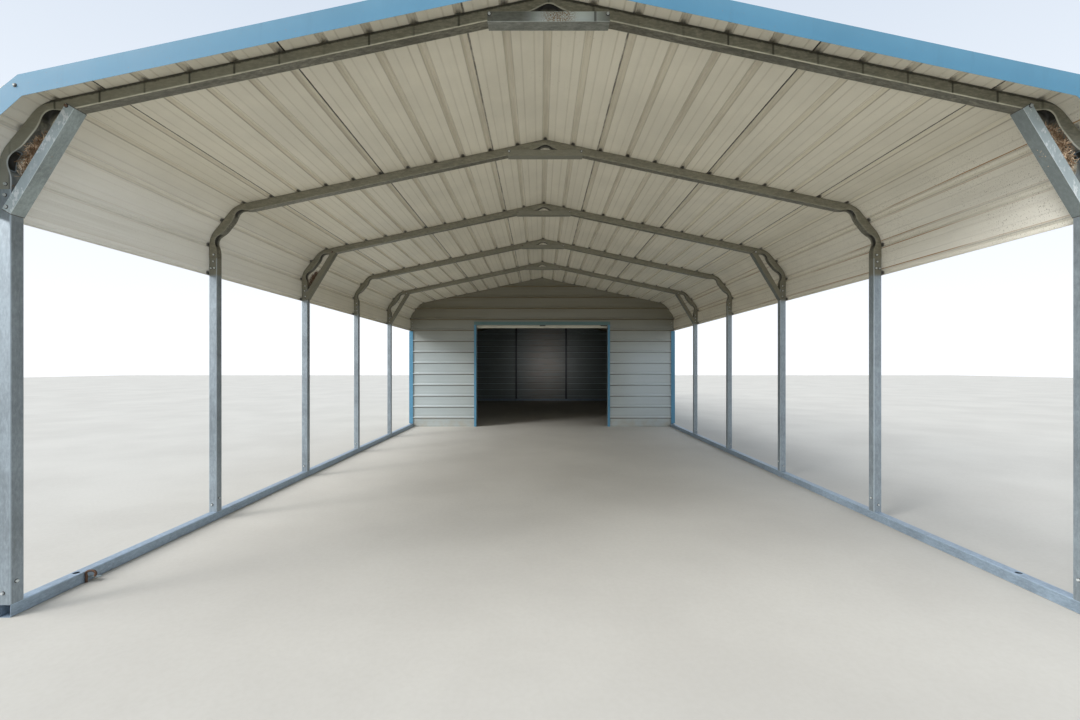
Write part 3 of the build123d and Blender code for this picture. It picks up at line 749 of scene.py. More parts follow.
def paint_finish(name, base, streaks, dust_height, sheltered=False):
    """Coloured coat on the outside of a sheet, chalky, with dust near the ground, dirt beside the ribs and
    painted shade along their creases.
    """
    base = Vector(base)
    grime_and_shade = Vector(finishes().grime_and_shade)
    made = Finish(name, IOR=1.62)
    near = made.from_nearest(made.attribute("along"), sizes().rib_pitch)
    clouds = made.noise(1.1, 3.0, 0.5)
    lines = made.noise(17.0, 4.0, 0.6, stretch=streaks)
    made.colour = made.blend(made.window(clouds, 0.3, 0.7), base * 0.94, base * 1.05)
    made.coat(made.window(lines, 0.5, 0.82, 0.0, 0.25), base * 0.74)
    foot = made.product(made.window(near, 0.021, 0.034, 1.0, 0.0), made.window(clouds, 0.35, 0.65), 0.22)
    made.coat(foot, grime_and_shade)
    # Painted shade along the rib creases, in the grime colour
    crease = made.window(made.size(made.less(near, 0.021)), 0.0015, 0.004, 0.5, 0.0)
    made.coat(crease, grime_and_shade * 0.3)
    if sheltered:
        sheltered_coat(made, lines)
    dust = made.window(made.axis("Z"), 0.02, dust_height, 1.0, 0.0)
    dust = made.product(dust, made.window(made.noise(7.0, 5.0), 0.35, 0.7, 0.05, 0.6))
    made.coat(dust, (0.36, 0.31, 0.23))
    scuffs = made.window(made.noise(48.0, 3.0, 0.7, stretch=(1.0, 1.0, 0.3)), 0.68, 0.74)
    scuffs = made.product(scuffs, made.window(made.noise(1.9, 2.0), 0.5, 0.66, 0.0, 0.6))
    made.coat(scuffs, base * 0.5)
    roughness = made.total(made.window(clouds, 0.2, 0.8, 0.29, 0.40), made.product(dust, 0.3))
    return made.done(roughness, made.bump(made.noise(90.0, 2.0), 0.10, 0.0004))


def trim_finish(name, base):
    """Faded coloured coat of the folded trims, with painted shade below the upper edge of a gable trim."""
    base = Vector(base)
    made = Finish(name, IOR=1.42)
    clouds = made.noise(2.3, 5.0, 0.6)
    lines = made.noise(30.0, 3.0, 0.6, stretch=(1.0, 1.0, 0.12))
    made.colour = made.blend(made.window(clouds, 0.3, 0.7), base * 0.94, base * 1.08)
    # Painted shade: deeper colour below the upper edge of a gable trim
    below = made.window(made.height_at_ridge(), ridge_height - 0.06, ridge_height + 0.05, 0.30, 0.0)
    made.coat(below, base * Vector((0.35, 0.70, 0.85)))
    made.coat(made.window(lines, 0.55, 0.8, 0.0, 0.2), base * 0.65)
    made.coat(made.window(made.noise(130.0, 2.0, 0.7), 0.68, 0.74, 0.0, 0.5), finishes().grime_and_shade)
    roughness = made.window(clouds, 0.2, 0.8, 0.42, 0.58)
    return made.done(roughness, made.bump(made.noise(14.0, 2.0), 0.5, 0.0008))


def door_finish(name):
    """Cream coat of the roll-up door, scuffed, with two dark marks along the top of the bottom bar."""
    base = Vector(finishes().pale)
    made = Finish(name, IOR=1.45)
    clouds = made.noise(3.1, 4.0, 0.6)
    lines = made.noise(24.0, 3.0, 0.6, stretch=(0.08, 1.0, 1.0))
    made.colour = made.blend(made.window(clouds, 0.3, 0.7), base * 0.92, base * 1.06)
    made.coat(made.window(lines, 0.5, 0.8, 0.0, 0.3), base * 0.6)
    low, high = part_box("door_bottom_bar")
    upper = made.window(made.axis("Z"), (low.z + high.z) / 2, high.z, 0.0, 0.9)
    across = made.axis("X")
    marks = made.near(across, 0.01, 0.05, 0.07), made.near(across, high.x - 0.10, 0.06, 0.08)
    made.coat(made.product(upper, made.maths("MAXIMUM", *marks)), (0.06, 0.06, 0.05))
    return made.done(made.window(clouds, 0.2, 0.8, 0.35, 0.5), made.bump(lines, 0.3, 0.0006))


def rust_finish(name):
    """Rusted steel of the ground anchor."""
    made = Finish(name, Metallic=0.2, IOR=1.5)
    scale = made.noise(60.0, 5.0, 0.65)
    fine = made.noise(260.0, 3.0, 0.7)
    made.colour = made.blend(made.window(scale, 0.35, 0.65), (0.045, 0.026, 0.018), (0.15, 0.075, 0.04))
    made.coat(made.window(fine, 0.58, 0.7, 0.0, 0.6), (0.26, 0.17, 0.11))
    normal = made.bump(fine, 0.5, 0.0005, made.bump(scale, 0.7, 0.0012))
    return made.done(made.window(scale, 0.3, 0.7, 0.62, 0.85), normal)


def plated_finish(name, base, rust_share):
    """Plated screw heads on dark rubber washers, some of those above the legs rusty."""
    base = Vector(base)
    made = Finish(name, Metallic=0.2, IOR=1.5)
    made.colour = made.blend(made.window(made.noise(7.0, 2.0), 0.35, 0.65), base * 0.8, base * 1.15)
    rusty = made.window(made.noise(3.1, 2.0), 0.47, 0.56, 0.0, rust_share)
    above_legs = made.window(made.axis("Z"), leg_top + 0.05, leg_top + 0.25)
    made.coat(made.product(rusty, above_legs), finishes().rust)
    made.coat(made.attribute("washer"), (0.045, 0.043, 0.04))
    grain = made.noise(300.0, 3.0, 0.6)
    return made.done(made.window(grain, 0.3, 0.7, 0.35, 0.6), made.bump(grain, 0.4, 0.0003))


def straw_finish():
    """Dry straw and mud in shades of brown, dark in the nest farther in."""
    made = Finish("nest_straw", IOR=1.4)
    patch = made.noise(30.0, 3.0)
    made.colour = made.blend(made.attribute("tone"), (0.30, 0.145, 0.055), (1.0, 0.83, 0.62))
    made.coat(made.window(patch, 0.42, 0.56, 0.0, 0.8), (0.17, 0.10, 0.05))
    made.coat(made.product(made.rest(made.open_end()), 0.8), (0.10, 0.052, 0.028))
    grain = made.noise(400.0, 2.0)
    return made.done(made.window(patch, 0.3, 0.7, 0.75, 0.95), made.bump(grain, 0.3, 0.0004))


def floor_finish():
    """Pale even floor of the stage."""
    made = Finish("studio_floor")
    fine = made.noise(35.0, 4.0, 0.6)
    cloud = made.window(made.noise(0.6, 5.0, 0.6), 0.3, 0.7)
    made.colour = made.blend(cloud, (0.50, 0.475, 0.425), (0.56, 0.535, 0.48))
    made.coat(made.window(fine, 0.35, 0.7, 0.0, 0.12), (0.45, 0.42, 0.36))
    return made.done(made.window(fine, 0.3, 0.7, 0.7, 0.85), made.bump(fine, 0.2, 0.002))


# Meshes
def new_piece(name, mesh, materials, replaced=(), smooth_angle=32.0):
    """Link a finished mesh as a piece that rides on the carport."""
    for material in materials:
        mesh.materials.append(material)
    mesh.shade_smooth()
    mesh.set_sharp_from_angle(angle=math.radians(smooth_angle))
    piece = bpy.data.objects.new(name, mesh)
    bpy.context.scene.collection.objects.link(piece)
    weights = piece.modifiers.new("Flat faces", "WEIGHTED_NORMAL")
    weights.keep_sharp = True
    weights.weight = 90
    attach(piece, BODY)
    if replaced:
        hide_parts(*replaced)
    return piece


def merged_copy(node):
    """The mesh of a node with its triangles joined to whole faces."""
    mesh = bmesh.new()
    mesh.from_mesh(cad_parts[node].data)
    bmesh.ops.remove_doubles(mesh, verts=mesh.verts, dist=2e-5)
    bmesh.ops.dissolve_limit(mesh, angle_limit=math.radians(1.0), verts=mesh.verts, edges=mesh.edges)
    return mesh


def round_folds(mesh, reach, shortest, least_angle, most_angle, segments=3):
    """Round the long edges whose faces meet at an angle between two limits."""
    folds = []
    for edge in mesh.edges:
        if len(edge.link_faces) == 2 and edge.calc_length() > shortest:
            angle = math.degrees(edge.calc_face_angle_signed(0.0))
            if least_angle < angle < most_angle or (most_angle < 80 and least_angle < -angle < most_angle):
                folds.append(edge)
    rounded = bmesh.ops.bevel(
        mesh, geom=folds, offset=reach, segments=segments, profile=0.5, affect="EDGES", clamp_overlap=True
    )
    return rounded["faces"]


def cut(mesh, point, across):
    """Divide the faces of a mesh along a plane."""
    everything = mesh.verts[:] + mesh.edges[:] + mesh.faces[:]
    bmesh.ops.bisect_plane(mesh, geom=everything, plane_co=point, plane_no=across)


def finished_mesh(mesh, name):
    """Write an edited mesh into a new one, and free it."""
    data = bpy.data.meshes.new(name)
    mesh.to_mesh(data)
    mesh.free()
    return data


def softened(node, name, reach, shortest, material):
    """A copy of a node with rounded outer edges, which stands for it and has its rounded faces marked."""
    mesh = merged_copy(node)
    fold = mesh.faces.layers.float.new("fold")
    for face in round_folds(mesh, reach, shortest, 50.0, 100.0):
        face[fold] = 1.0
    return new_piece(name, finished_mesh(mesh, name), [material], [node])


def near_bow(y):
    """How free a sheet is at a place: nothing on a bow, one in the middle of a bay."""
    return abs(math.sin(math.pi * (y - bow_places[0]) / bay))


def cut_pencil_ribs(mesh, level, planes):
    """Cut a sheet along the edges and the middles of its small stiffening folds."""
    pitch, half = sizes().rib_pitch, sizes().pencil_half
    levels = [level(vertex.co) for vertex in mesh.verts]
    for count in range(int(min(levels) / pitch), int(max(levels) / pitch) + 1):
        for third in (1, 2):
            for off in (-half, 0.0, half):
                for point, across in planes((count + third / 3) * pitch + off):
                    cut(mesh, point, across)


def pencil_distance(along):
    """Distance from the middle of the nearest small stiffening fold."""
    pitch = sizes().rib_pitch
    place = along / pitch % 1.0
    return min(abs(place - 1 / 3), abs(place - 2 / 3)) * pitch


def pencil_height(along):
    """Height of a small stiffening fold over its sheet."""
    return sizes().pencil_rise * max(0.0, 1.0 - pencil_distance(along) / sizes().pencil_half)


def crease_pencil_ribs(data, along):
    """Mark the edges and the middles of the small stiffening folds as sharp."""
    half = sizes().pencil_half
    for edge in data.edges:
        start, end = (along[vertex] for vertex in edge.vertices)
        off = pencil_distance(start)
        if abs(start - end) < 1e-4 and min(off, abs(off - half)) < 2e-4:
            edge.use_edge_sharp = True


def dressed_sheet(node, name, across, places, materials, faces_inside, wave, level, planes, outward):
    """A ribbed sheet with rounded ribs, small stiffening folds and slight waves.

    Its inside gets the second material. Level gives the distance along the profile, which the patterns of
    the finish follow. Planes gives the cuts across the profile at such a distance, and outward the direction
    out of the sheet at a point.
    """
    values = sizes()
    mesh = merged_copy(node)
    round_folds(mesh, values.sheet_fold, 0.3, 20.0, 70.0)
    cut_pencil_ribs(mesh, level, planes)
    for place in places:
        cut(mesh, across * place, across)
    mesh.normal_update()
    for face in mesh.faces:
        if faces_inside(face.calc_center_median(), face.normal):
            face.material_index = 1
    for vertex in mesh.verts:
        vertex.co += wave(vertex.co) + outward(vertex.co) * pencil_height(level(vertex.co))
    data = finished_mesh(mesh, name)
    along = [level(vertex.co) for vertex in data.vertices]
    data.attributes.new("along", "FLOAT", "POINT").data.foreach_set("value", along)
    piece = new_piece(name, data, materials, [node], 40.0)
    crease_pencil_ribs(data, along)
    return piece


def steps(low, high, count):
    """Places that divide a stretch into equal parts."""
    return [low + (high - low) * n / count for n in range(1, count)]


# Bent tubes
def bump_curve(distance, reach):
    """Smooth rise from nothing at the reach to one in the middle."""
    share = min(abs(distance) / reach, 1.0)
    return (1.0 + math.cos(math.pi * share)) / 2


def bow_section(depth, groove, bulge):
    """Ring round a tube whose inner wall is pressed in by the groove.

    Each point is its distance across, its distance down from the outside, and how deep in the trough and
    how near to the lip it lies.
    """
    half = tube / 2
    corner = sizes().corner_radius
    turns = [math.pi / 2 * n / 4 for n in range(5)]
    right = [(half - corner + corner * math.sin(a), corner - corner * math.cos(a), 0.0, 0.0) for a in turns]
    for share in (0.02, 0.3, 0.5, 0.7, 0.98):
        down = corner + (depth - 2 * corner) * share
        right.append((half + bulge * math.sin(math.pi * share), down, 0.0, 0.0))
    base = depth - corner
    for a in turns:
        right.append((half - corner + corner * math.cos(a), base + corner * math.sin(a), 0.0, math.sin(a)))
    lip = half - corner - 0.0005
    for share in (0.985, 0.94, 0.86, 0.74, 0.58, 0.38, 0.15):
        pressed = 1.0 - share**4
        right.append((lip * share, depth - groove * pressed, 2.0 * groove * pressed / tube, 0.0))
    left = [(-across, *rest) for across, *rest in reversed(right)]
    return right + left


def bow_stations(line):
    """Distances along half a bow, closer together where it is bent or crushed."""
    reach = sizes().crush_reach + 0.01
    rings_in_bend = 34
    straight_step = 0.3
    places = {line.leg_top}
    for centre in line.bends:
        count = rings_in_bend if centre else rings_in_bend // 2
        start = max(centre - reach, 0.0)
        places |= {start + (centre + reach - start) * n / count for n in range(count + 1)}
    places |= {straight_step * n for n in range(1, 9)}
    return sorted(place for place in places if place <= line.leg_top + 1e-9)


def bow_mesh(name, line, y):
    """A bow as rings along its line, with how deep in a trough and how near to a lip each point lies."""
    values = sizes()
    ends = bow_stations(line)
    stations = [-place for place in reversed(ends) if place > 0] + ends
    mesh = bmesh.new()
    rings, troughs, lips = [], [], []
    number = bow_places.index(y)
    for along in stations:
        distance = min(abs(abs(along) - centre) for centre in line.bends)
        crush = bump_curve(distance, values.crush_reach)
        depth = tube - (tube - values.crushed_depth) * crush
        groove = (values.crushed_depth - values.groove_depth) * bump_curve(distance, values.groove_reach)
        ring = []
        for across, down, trough, lip in bow_section(depth, groove, values.side_bulge * crush):
            dent = noise.noise(Vector((along * 9.0, across * 40.0 + number * 7.0, down * 20.0)))
            x, z = line.at(along, -down - dent * values.dent * crush * down / depth)
            ring.append(mesh.verts.new((x, y + across, z)))
            troughs.append(trough)
            lips.append(lip)
        rings.append(ring)
    for first, second in zip(rings, rings[1:]):
        for n, vertex in enumerate(first):
            mesh.faces.new((vertex, first[n - 1], second[n - 1], second[n]))
    mesh.faces.new(rings[0][::-1])
    mesh.faces.new(rings[-1])
    bmesh.ops.recalc_face_normals(mesh, faces=mesh.faces)
    data = finished_mesh(mesh, name)
    for label, numbers in (("trough", troughs), ("lip", lips)):
        data.attributes.new(label, "FLOAT", "POINT").data.foreach_set("value", numbers)
    return data


class CARPORT_OT_bows(bpy.types.Operator):
    """Bend the bows, with crushed and grooved insides"""

    bl_idname = "carport.bows"
    bl_label = "Bows"

    def execute(self, context):
        line = BowLine(sizes())
        zinc = bow_finish("zinc_bows")
        for name, y in zip(bow_names, bow_places):
            mesh = bow_mesh(f"{name}_tube", line, y)
            new_piece(f"{name}_tube", mesh, [zinc], [name], 60.0)
        return {"FINISHED"}


class CARPORT_OT_tubes(bpy.types.Operator):
    """Round the edges of legs, rails, posts and header"""

    bl_idname = "carport.tubes"
    bl_label = "Legs, rails and posts"

    def execute(self, context):
        upright = zinc_finish("zinc_uprights", finishes().clean_zinc, (1.0, 1.0, 0.06), 0.6)
        # Painted shade: the rear posts get the very dark copy of the zinc
        shaded = zinc_finish("zinc_rear_posts", finishes().shade_dark_zinc, (1.0, 1.0, 0.06), 0.6)
        rails = zinc_finish("zinc_rails", finishes().rail_zinc, (1.0, 0.06, 1.0), 0.8)
        across = zinc_finish("zinc_cross_rails", finishes().rail_zinc, (0.06, 1.0, 1.0), 0.8)
        by_material = {
            upright: ("legs_left", "legs_right", "door_posts"),
            shaded: ("rear_wall_posts",),
            rails: ("base_rail_left", "base_rail_right"),
            across: ("rear_base_rail", "doorway_base_rails", "door_header"),
        }
        for material, nodes in by_material.items():
            for node in nodes:
                radius = sizes().corner_radius
                softened(node, f"{node}_tube", radius, 0.5, material)
        return {"FINISHED"}


class CARPORT_OT_channels(bpy.types.Operator):
    """Round the folds of ridge ties, knee braces and door guides"""

    bl_idname = "carport.channels"
    bl_label = "Ties, braces and guides"

    def execute(self, context):
        braces = brace_finish("zinc_braces")
        ties = tie_finish("zinc_ties")
        guides = zinc_finish("zinc_guides", finishes().tie_zinc, (1.0, 1.0, 0.1), 0.4)
        by_node = {
            "ridge_ties": ties,
            "knee_braces_left": braces,
            "knee_braces_right": braces,
            "door_guides": guides,
            "door_brackets": guides,
        }
        for node, material in by_node.items():
            fold = sizes().channel_fold
            softened(node, f"{node}_folded", fold, 0.2, material)
        return {"FINISHED"}


class CARPORT_OT_roof(bpy.types.Operator):
    """Dress the roof sheets with rounded ribs and slight waves"""

    bl_idname = "carport.roof"
    bl_label = "Roof sheets"

    def execute(self, context):
        line = BowLine(sizes())
        height = sizes().sheet_wave
        paint = paint_finish("roof_paint", finishes().paint, (1.0, 0.05, 1.0), 0.1)
        backer = backer_finish("roof_backer", finishes().backer, (1.0, 0.04, 1.0), roof=True)

        def outward(point):
            angle = line.heading(line.along(point.x, point.z))
            return Vector((math.copysign(math.sin(angle), point.x), 0.0, math.cos(angle)))

        def inside(centre, normal):
            return normal.dot(outward(centre)) < 0.1

        def wave(point):
            swell = noise.noise(Vector((point.x * 1.7, point.y * 1.1, point.z * 1.7)))
            return outward(point) * (swell * height * near_bow(point.y))

        def planes(along):
            angle = line.heading(along)
            cuts = []
            for side in (-1, 1):
                x, z = line.at(side * along)
                cuts.append((Vector((x, 0.0, z)), Vector((side * math.cos(angle), 0.0, -math.sin(angle)))))
            return cuts

        for node in ("ridge_sheet", "upper_roof_sheets", "lower_roof_sheets", "eave_sheets"):
            dressed_sheet(
                node,
                f"{node}_ribbed",
                Vector((0.0, 1.0, 0.0)),
                steps(roof_front, roof_rear, 40),
                [paint, backer],
                inside,
                wave,
                lambda point: line.along(point.x, point.z),
                planes,
                outward,
            )
        return {"FINISHED"}


class CARPORT_OT_siding(bpy.types.Operator):
    """Dress the siding of the shed with rounded ribs and slight waves"""

    bl_idname = "carport.siding"
    bl_label = "Siding"

    def execute(self, context):
        line = BowLine(sizes())
        height = sizes().sheet_wave
        sides = paint_finish("siding_paint_sides", finishes().paint, (1.0, 0.05, 1.0), 0.5)
        front = paint_finish("siding_paint_front", finishes().paint, (0.05, 1.0, 1.0), 0.3, sheltered=True)
        rear = paint_finish("siding_paint_rear", finishes().paint, (0.05, 1.0, 1.0), 0.5)
        # The siding's inside takes the lining coat, darkened and blued as painted shade and sky light
        backer = backer_finish("siding_backer", finishes().lining_in_shade, (0.04, 0.04, 1.0))

        def side_inside(centre, normal):
            return normal.x * centre.x < 0

        def side_wave(point):
            swell = noise.noise(Vector((7.0, point.y * 1.3, point.z * 2.1)))
            return Vector((swell * height * near_bow(point.y), 0.0, 0.0))

        def side_outward(point):
            return Vector((math.copysign(1.0, point.x), 0.0, 0.0))

        def level(point):
            return line.ground - point.z

        def planes(along):
            return [(Vector((0.0, 0.0, line.ground - along)), Vector((0.0, 0.0, 1.0)))]

        for row in ("top", "middle", "bottom"):
            dressed_sheet(
                f"side_wall_{row}_sheets",
                f"side_wall_{row}_ribbed",
                Vector((0.0, 1.0, 0.0)),
                steps(wall_face, rear_face, 20),
                [sides, backer],
                side_inside,
                side_wave,
                level,
                planes,
                side_outward,
            )
        for wall, outward, ends in (("front", -1, front), ("rear", 1, rear)):

            def end_inside(centre, normal, outward=outward):
                return normal.y * outward < 0

            def end_wave(point, outward=outward):
                swell = noise.noise(Vector((point.x * 1.3, 5.0 * outward, point.z * 2.1)))
                return Vector((0.0, swell * height, 0.0))

            for row in ("gable", "upper", "middle", "bottom"):
                dressed_sheet(
                    f"{wall}_wall_{row}_sheet",
                    f"{wall}_wall_{row}_ribbed",
                    Vector((1.0, 0.0, 0.0)),
                    steps(-half_width, half_width, 16),
                    [ends, backer],
                    end_inside,
                    end_wave,
                    level,
                    planes,
                    lambda point, outward=outward: Vector((0.0, outward, 0.0)),
                )
        return {"FINISHED"}


class CARPORT_OT_trims(bpy.types.Operator):
    """Dress the folded trims of gables, corners and doorway"""

    bl_idname = "carport.trims"
    bl_label = "Trims"

    def execute(self, context):
        blue = trim_finish("trim_blue", finishes().blue)
        # Painted light: a lighter copy of the blue for the trims in the shade under the roof
        sheltered = trim_finish("trim_blue_lit_copy", Vector(finishes().blue) * 1.16)
        teal = trim_finish("trim_teal", finishes().teal)
        fold = sizes().trim_fold
        for node in ("front_gable_trims", "rear_gable_trims", "rear_corner_trims"):
            softened(node, f"{node}_folded", fold, 0.04, blue)
        for node in ("front_corner_trims", "door_jamb_trims"):
            softened(node, f"{node}_folded", fold, 0.04, sheltered)
        softened("door_header_trim", "door_header_trim_folded", fold, 0.04, teal)
        return {"FINISHED"}


class CARPORT_OT_door(bpy.types.Operator):
    """Dress the rolled-up door"""

    bl_idname = "carport.door"
    bl_label = "Rolled-up door"

    def execute(self, context):
        pale = door_finish("door_pale")
        softened("door_curtain", "door_curtain_rolled", 0.002, 0.5, pale)
        softened("door_bottom_bar", "door_bottom_bar_rounded", 0.003, 0.5, pale)
        return {"FINISHED"}


# Small pieces that repeat
class Growth:
    """A geometry node tree with named inputs, which makes small shapes on points."""

    def __init__(self, name, **inputs):
        self.tree = bpy.data.node_groups.new(name, "GeometryNodeTree")
        sockets = self.tree.interface
        sockets.new_socket("Geometry", in_out="INPUT", socket_type="NodeSocketGeometry")
        sockets.new_socket("Geometry", in_out="OUTPUT", socket_type="NodeSocketGeometry")
        kinds = {float: "NodeSocketFloat", int: "NodeSocketInt", bpy.types.Material: "NodeSocketMaterial"}
        self.values = {}
        for label, value in inputs.items():
            title = label.replace("_", " ").capitalize()
            socket = sockets.new_socket(title, in_out="INPUT", socket_type=kinds[type(value)])
            self.values[socket.identifier] = value
        self.given = self.tree.nodes.new("NodeGroupInput").outputs
        self.result = self.tree.nodes.new("NodeGroupOutput").inputs["Geometry"]

    def add(self, kind, sockets=None, **settings):
        """Add a node, and link or set its sockets by name."""
        node = self.tree.nodes.new(kind)
        for name, value in settings.items():
            setattr(node, name, value)
        for name, value in (sockets or {}).items():
            target = next(socket for socket in node.inputs if socket.name == name and socket.enabled)
            if isinstance(value, bpy.types.NodeSocket):
                self.tree.links.new(value, target)
            else:
                target.default_value = value
        return next(socket for socket in node.outputs if socket.enabled)

    def maths(self, operation, *values):
        """Result of one operation on sockets or numbers."""
        node = self.tree.nodes.new("ShaderNodeMath")
        node.operation = operation
        for socket, value in zip(node.inputs, values):
            if isinstance(value, bpy.types.NodeSocket):
                self.tree.links.new(value, socket)
            else:
                socket.default_value = value
        return node.outputs["Value"]

    def joined(self, *parts):
        """Shapes joined to one, in their order."""
        node = self.tree.nodes.new("GeometryNodeJoinGeometry")
        for part in reversed(parts):
            self.tree.links.new(part, node.inputs["Geometry"])
        return node.outputs["Geometry"]

    def finish(self, instances):
        """Turn the instances into a real mesh with the given material."""
        real = self.add("GeometryNodeRealizeInstances", {"Geometry": instances})
        dressed = self.add("GeometryNodeSetMaterial", {"Geometry": real, "Material": self.given["Material"]})
        self.tree.links.new(dressed, self.result)

    def grown(self, mesh):
        """The plain mesh that the tree makes from a mesh of points."""
        seed = bpy.data.objects.new(mesh.name, mesh)
        bpy.context.scene.collection.objects.link(seed)
        modifier = seed.modifiers.new("Growth", "NODES")
        modifier.node_group = self.tree
        for identifier, value in self.values.items():
            modifier[identifier] = value
        depsgraph = bpy.context.evaluated_depsgraph_get()
        made = bpy.data.meshes.new_from_object(seed.evaluated_get(depsgraph), depsgraph=depsgraph)
        seed.modifiers.remove(modifier)
        bpy.data.objects.remove(seed)
        return made


def screw_growth(material, head, washer, seed):
    """Hexagonal heads on round washers, turned at random about the direction that they face."""
    growth = Growth(
        "screw_heads",
        head_radius=head,
        head_height=head * 0.75,
        washer_radius=washer,
        washer_height=washer * 0.22,
        seed=seed,
        material=material,
    )
    given = growth.given
    disc = growth.add(
        "GeometryNodeMeshCone",
        {
            "Vertices": 12,
            "Radius Top": growth.maths("MULTIPLY", given["Washer radius"], 0.8),
            "Radius Bottom": given["Washer radius"],
            "Depth": given["Washer height"],
        },
    )
    disc = growth.add(
        "GeometryNodeStoreNamedAttribute",
        {"Geometry": disc, "Name": "washer", "Value": 1.0},
        data_type="FLOAT",
    )
    hexagon = growth.add(
        "GeometryNodeMeshCone",
        {
            "Vertices": 6,
            "Radius Top": growth.maths("MULTIPLY", given["Head radius"], 0.86),
            "Radius Bottom": given["Head radius"],
            "Depth": given["Head height"],
        },
    )
    rise = growth.add("ShaderNodeCombineXYZ", {"Z": given["Washer height"]})
    hexagon = growth.add("GeometryNodeTransform", {"Geometry": hexagon, "Translation": rise})
    facing = growth.add("GeometryNodeInputNamedAttribute", {"Name": "facing"}, data_type="FLOAT_VECTOR")
    turn = growth.add(
        "FunctionNodeRandomValue", {"Max": math.pi / 3, "Seed": given["Seed"]}, data_type="FLOAT"
    )
    turned = growth.add("FunctionNodeAxisAngleToRotation", {"Axis": (0.0, 0.0, 1.0), "Angle": turn})
    rotation = growth.add("FunctionNodeAlignRotationToVector", {"Vector": facing}, axis="Z")
    rotation = growth.add(
        "FunctionNodeRotateRotation", {"Rotation": rotation, "Rotate By": turned}, rotation_space="LOCAL"
    )
    placed = growth.add(
        "GeometryNodeInstanceOnPoints",
        {"Points": given["Geometry"], "Instance": growth.joined(disc, hexagon), "Rotation": rotation},
    )
    growth.finish(placed)
    return growth


def screw_points(name, screws):
    """Mesh of the places of screws, with the direction that each one faces."""
    mesh = bpy.data.meshes.new(name)
    mesh.from_pydata([place for place, _ in screws], [], [])
    directions = [number for _, facing in screws for number in facing]
    mesh.attributes.new("facing", "FLOAT_VECTOR", "POINT").data.foreach_set("vector", directions)
    return mesh


def tie_screws():
    """A screw through each end of every ridge tie, front and back."""
    low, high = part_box("ridge_ties")
    flange = bow_places[0] - low.y
    spacing, height = high.x - 0.010, high.z - 0.013
    return [
        ((x, y + face * flange, height), (0, face, 0))
        for y in tie_places
        for face in (-1, 1)
        for x in (-spacing, spacing)
    ]


def brace_screws():
    """Screws through the ends of the knee braces, front and back."""
    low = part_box("knee_braces_right")[0]
    flange = bow_places[0] - low.y
    foot = Vector((half_width - tube, 0.0, low.z))
    slope = low.x * math.tan(sizes().pitch)
    under_bow = ridge_height - slope - tube / math.cos(sizes().pitch)
    head = Vector((low.x, 0.0, under_bow + 0.004))
    run = (head - foot).normalized()
    out = Vector((run.z, 0.0, -run.x))
    foot_screw = foot + out * 0.036 + run * 0.022
    head_screw = head + out * 0.040 - run * 0.012
    screws = []
    for y in brace_places:
        for side in (-1, 1):
            for face in (-1, 1):
                for place in (foot_screw, head_screw):
                    spot = (side * place.x, y + face * flange, place.z)
                    screws.append((spot, (0, face, 0)))
    return screws


def joint_screws():
    """Screws through the joints of bows and legs, and at the feet of the legs."""
    centre = half_width - tube / 2
    # Across, and up from the joint
    at_joint = [(centre - 0.008, 0.030), (centre - 0.005, -0.025)]
    below_joint = [(centre - 0.014, -0.078), (centre + 0.014, -0.080)]
    screws = []
    for number, y in enumerate(bow_places):
        for side in (-1, 1):
            jog = noise.noise(Vector((number * 3.7, side * 5.1, 0.5))) * 0.012
            front = y - tube / 2
            marks = at_joint if y in brace_places else at_joint + below_joint
            places = [(x, leg_top + rise + jog) for x, rise in marks]
            places.append((centre + 0.006, tube + 0.062 + jog))
            screws += [((side * x, front, z), (0, -1, 0)) for x, z in places]
            if number < shed_bow:
                screws.append(((side * half_width, y + 0.004, leg_top - 0.12 + jog), (side, 0, 0)))
            screws.append(((side * (half_width - tube), y + jog, tube + 0.108), (-side, 0, 0)))
    return screws


def roof_screws():
    """Screws beside every rib on every bow."""
    line = BowLine(sizes())
    pitch, beside = sizes().rib_pitch, sizes().beside_rib
    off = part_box("ridge_sheet")[1].z - ridge_height - rib_rise
    screws = []
    ribs = int(line.leg_top / pitch)
    for y in bow_places:
        for count in range(-ribs, ribs + 1):
            along = math.copysign(abs(count) * pitch - beside, count) if count else beside
            angle = line.heading(along)
            x, z = line.at(along, off)
            screws.append(((x, y, z), (math.copysign(math.sin(angle), along), 0.0, math.cos(angle))))
    return screws


def wall_screws():
    """Screws beside every rib at each post of the shed's four walls."""
    line = BowLine(sizes())
    pitch, skin = sizes().rib_pitch, 0.0015
    first_rib = int(line.bends[2] / pitch) + 2
    last_rib = int(line.ground / pitch)
    leg = half_width - tube / 2
    door_post = door_half + tube / 2
    rear_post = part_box("rear_wall_posts")[1].x - tube / 2
    screws = []
    for count in range(first_rib, last_rib + 1):
        z = line.ground - count * pitch - sizes().beside_rib
        for side in (-1, 1):
            screws += [((side * (half_width + skin), y, z), (side, 0, 0)) for y in bow_places[shed_bow:]]
        for post in (leg, door_post):
            screws += [((x, wall_face - skin, z), (0, -1, 0)) for x in (-post, post)]
        for post in (leg, rear_post):
            screws += [((x, rear_face + skin, z), (0, 1, 0)) for x in (-post, post)]
    return screws


def trim_screws():
    """A screw through each gable trim beside its upper kink."""
    line = BowLine(sizes())
    low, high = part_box("front_gable_trims")[0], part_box("rear_gable_trims")[1]
    under_edge = 0.022
    screws = []
    for side in (-1, 1):
        x, z = line.at(side * (line.bends[1] - sizes().beside_rib), -under_edge)
        screws += [((x, low.y, z), (0, -1, 0)), ((x, high.y, z), (0, 1, 0))]
    return screws


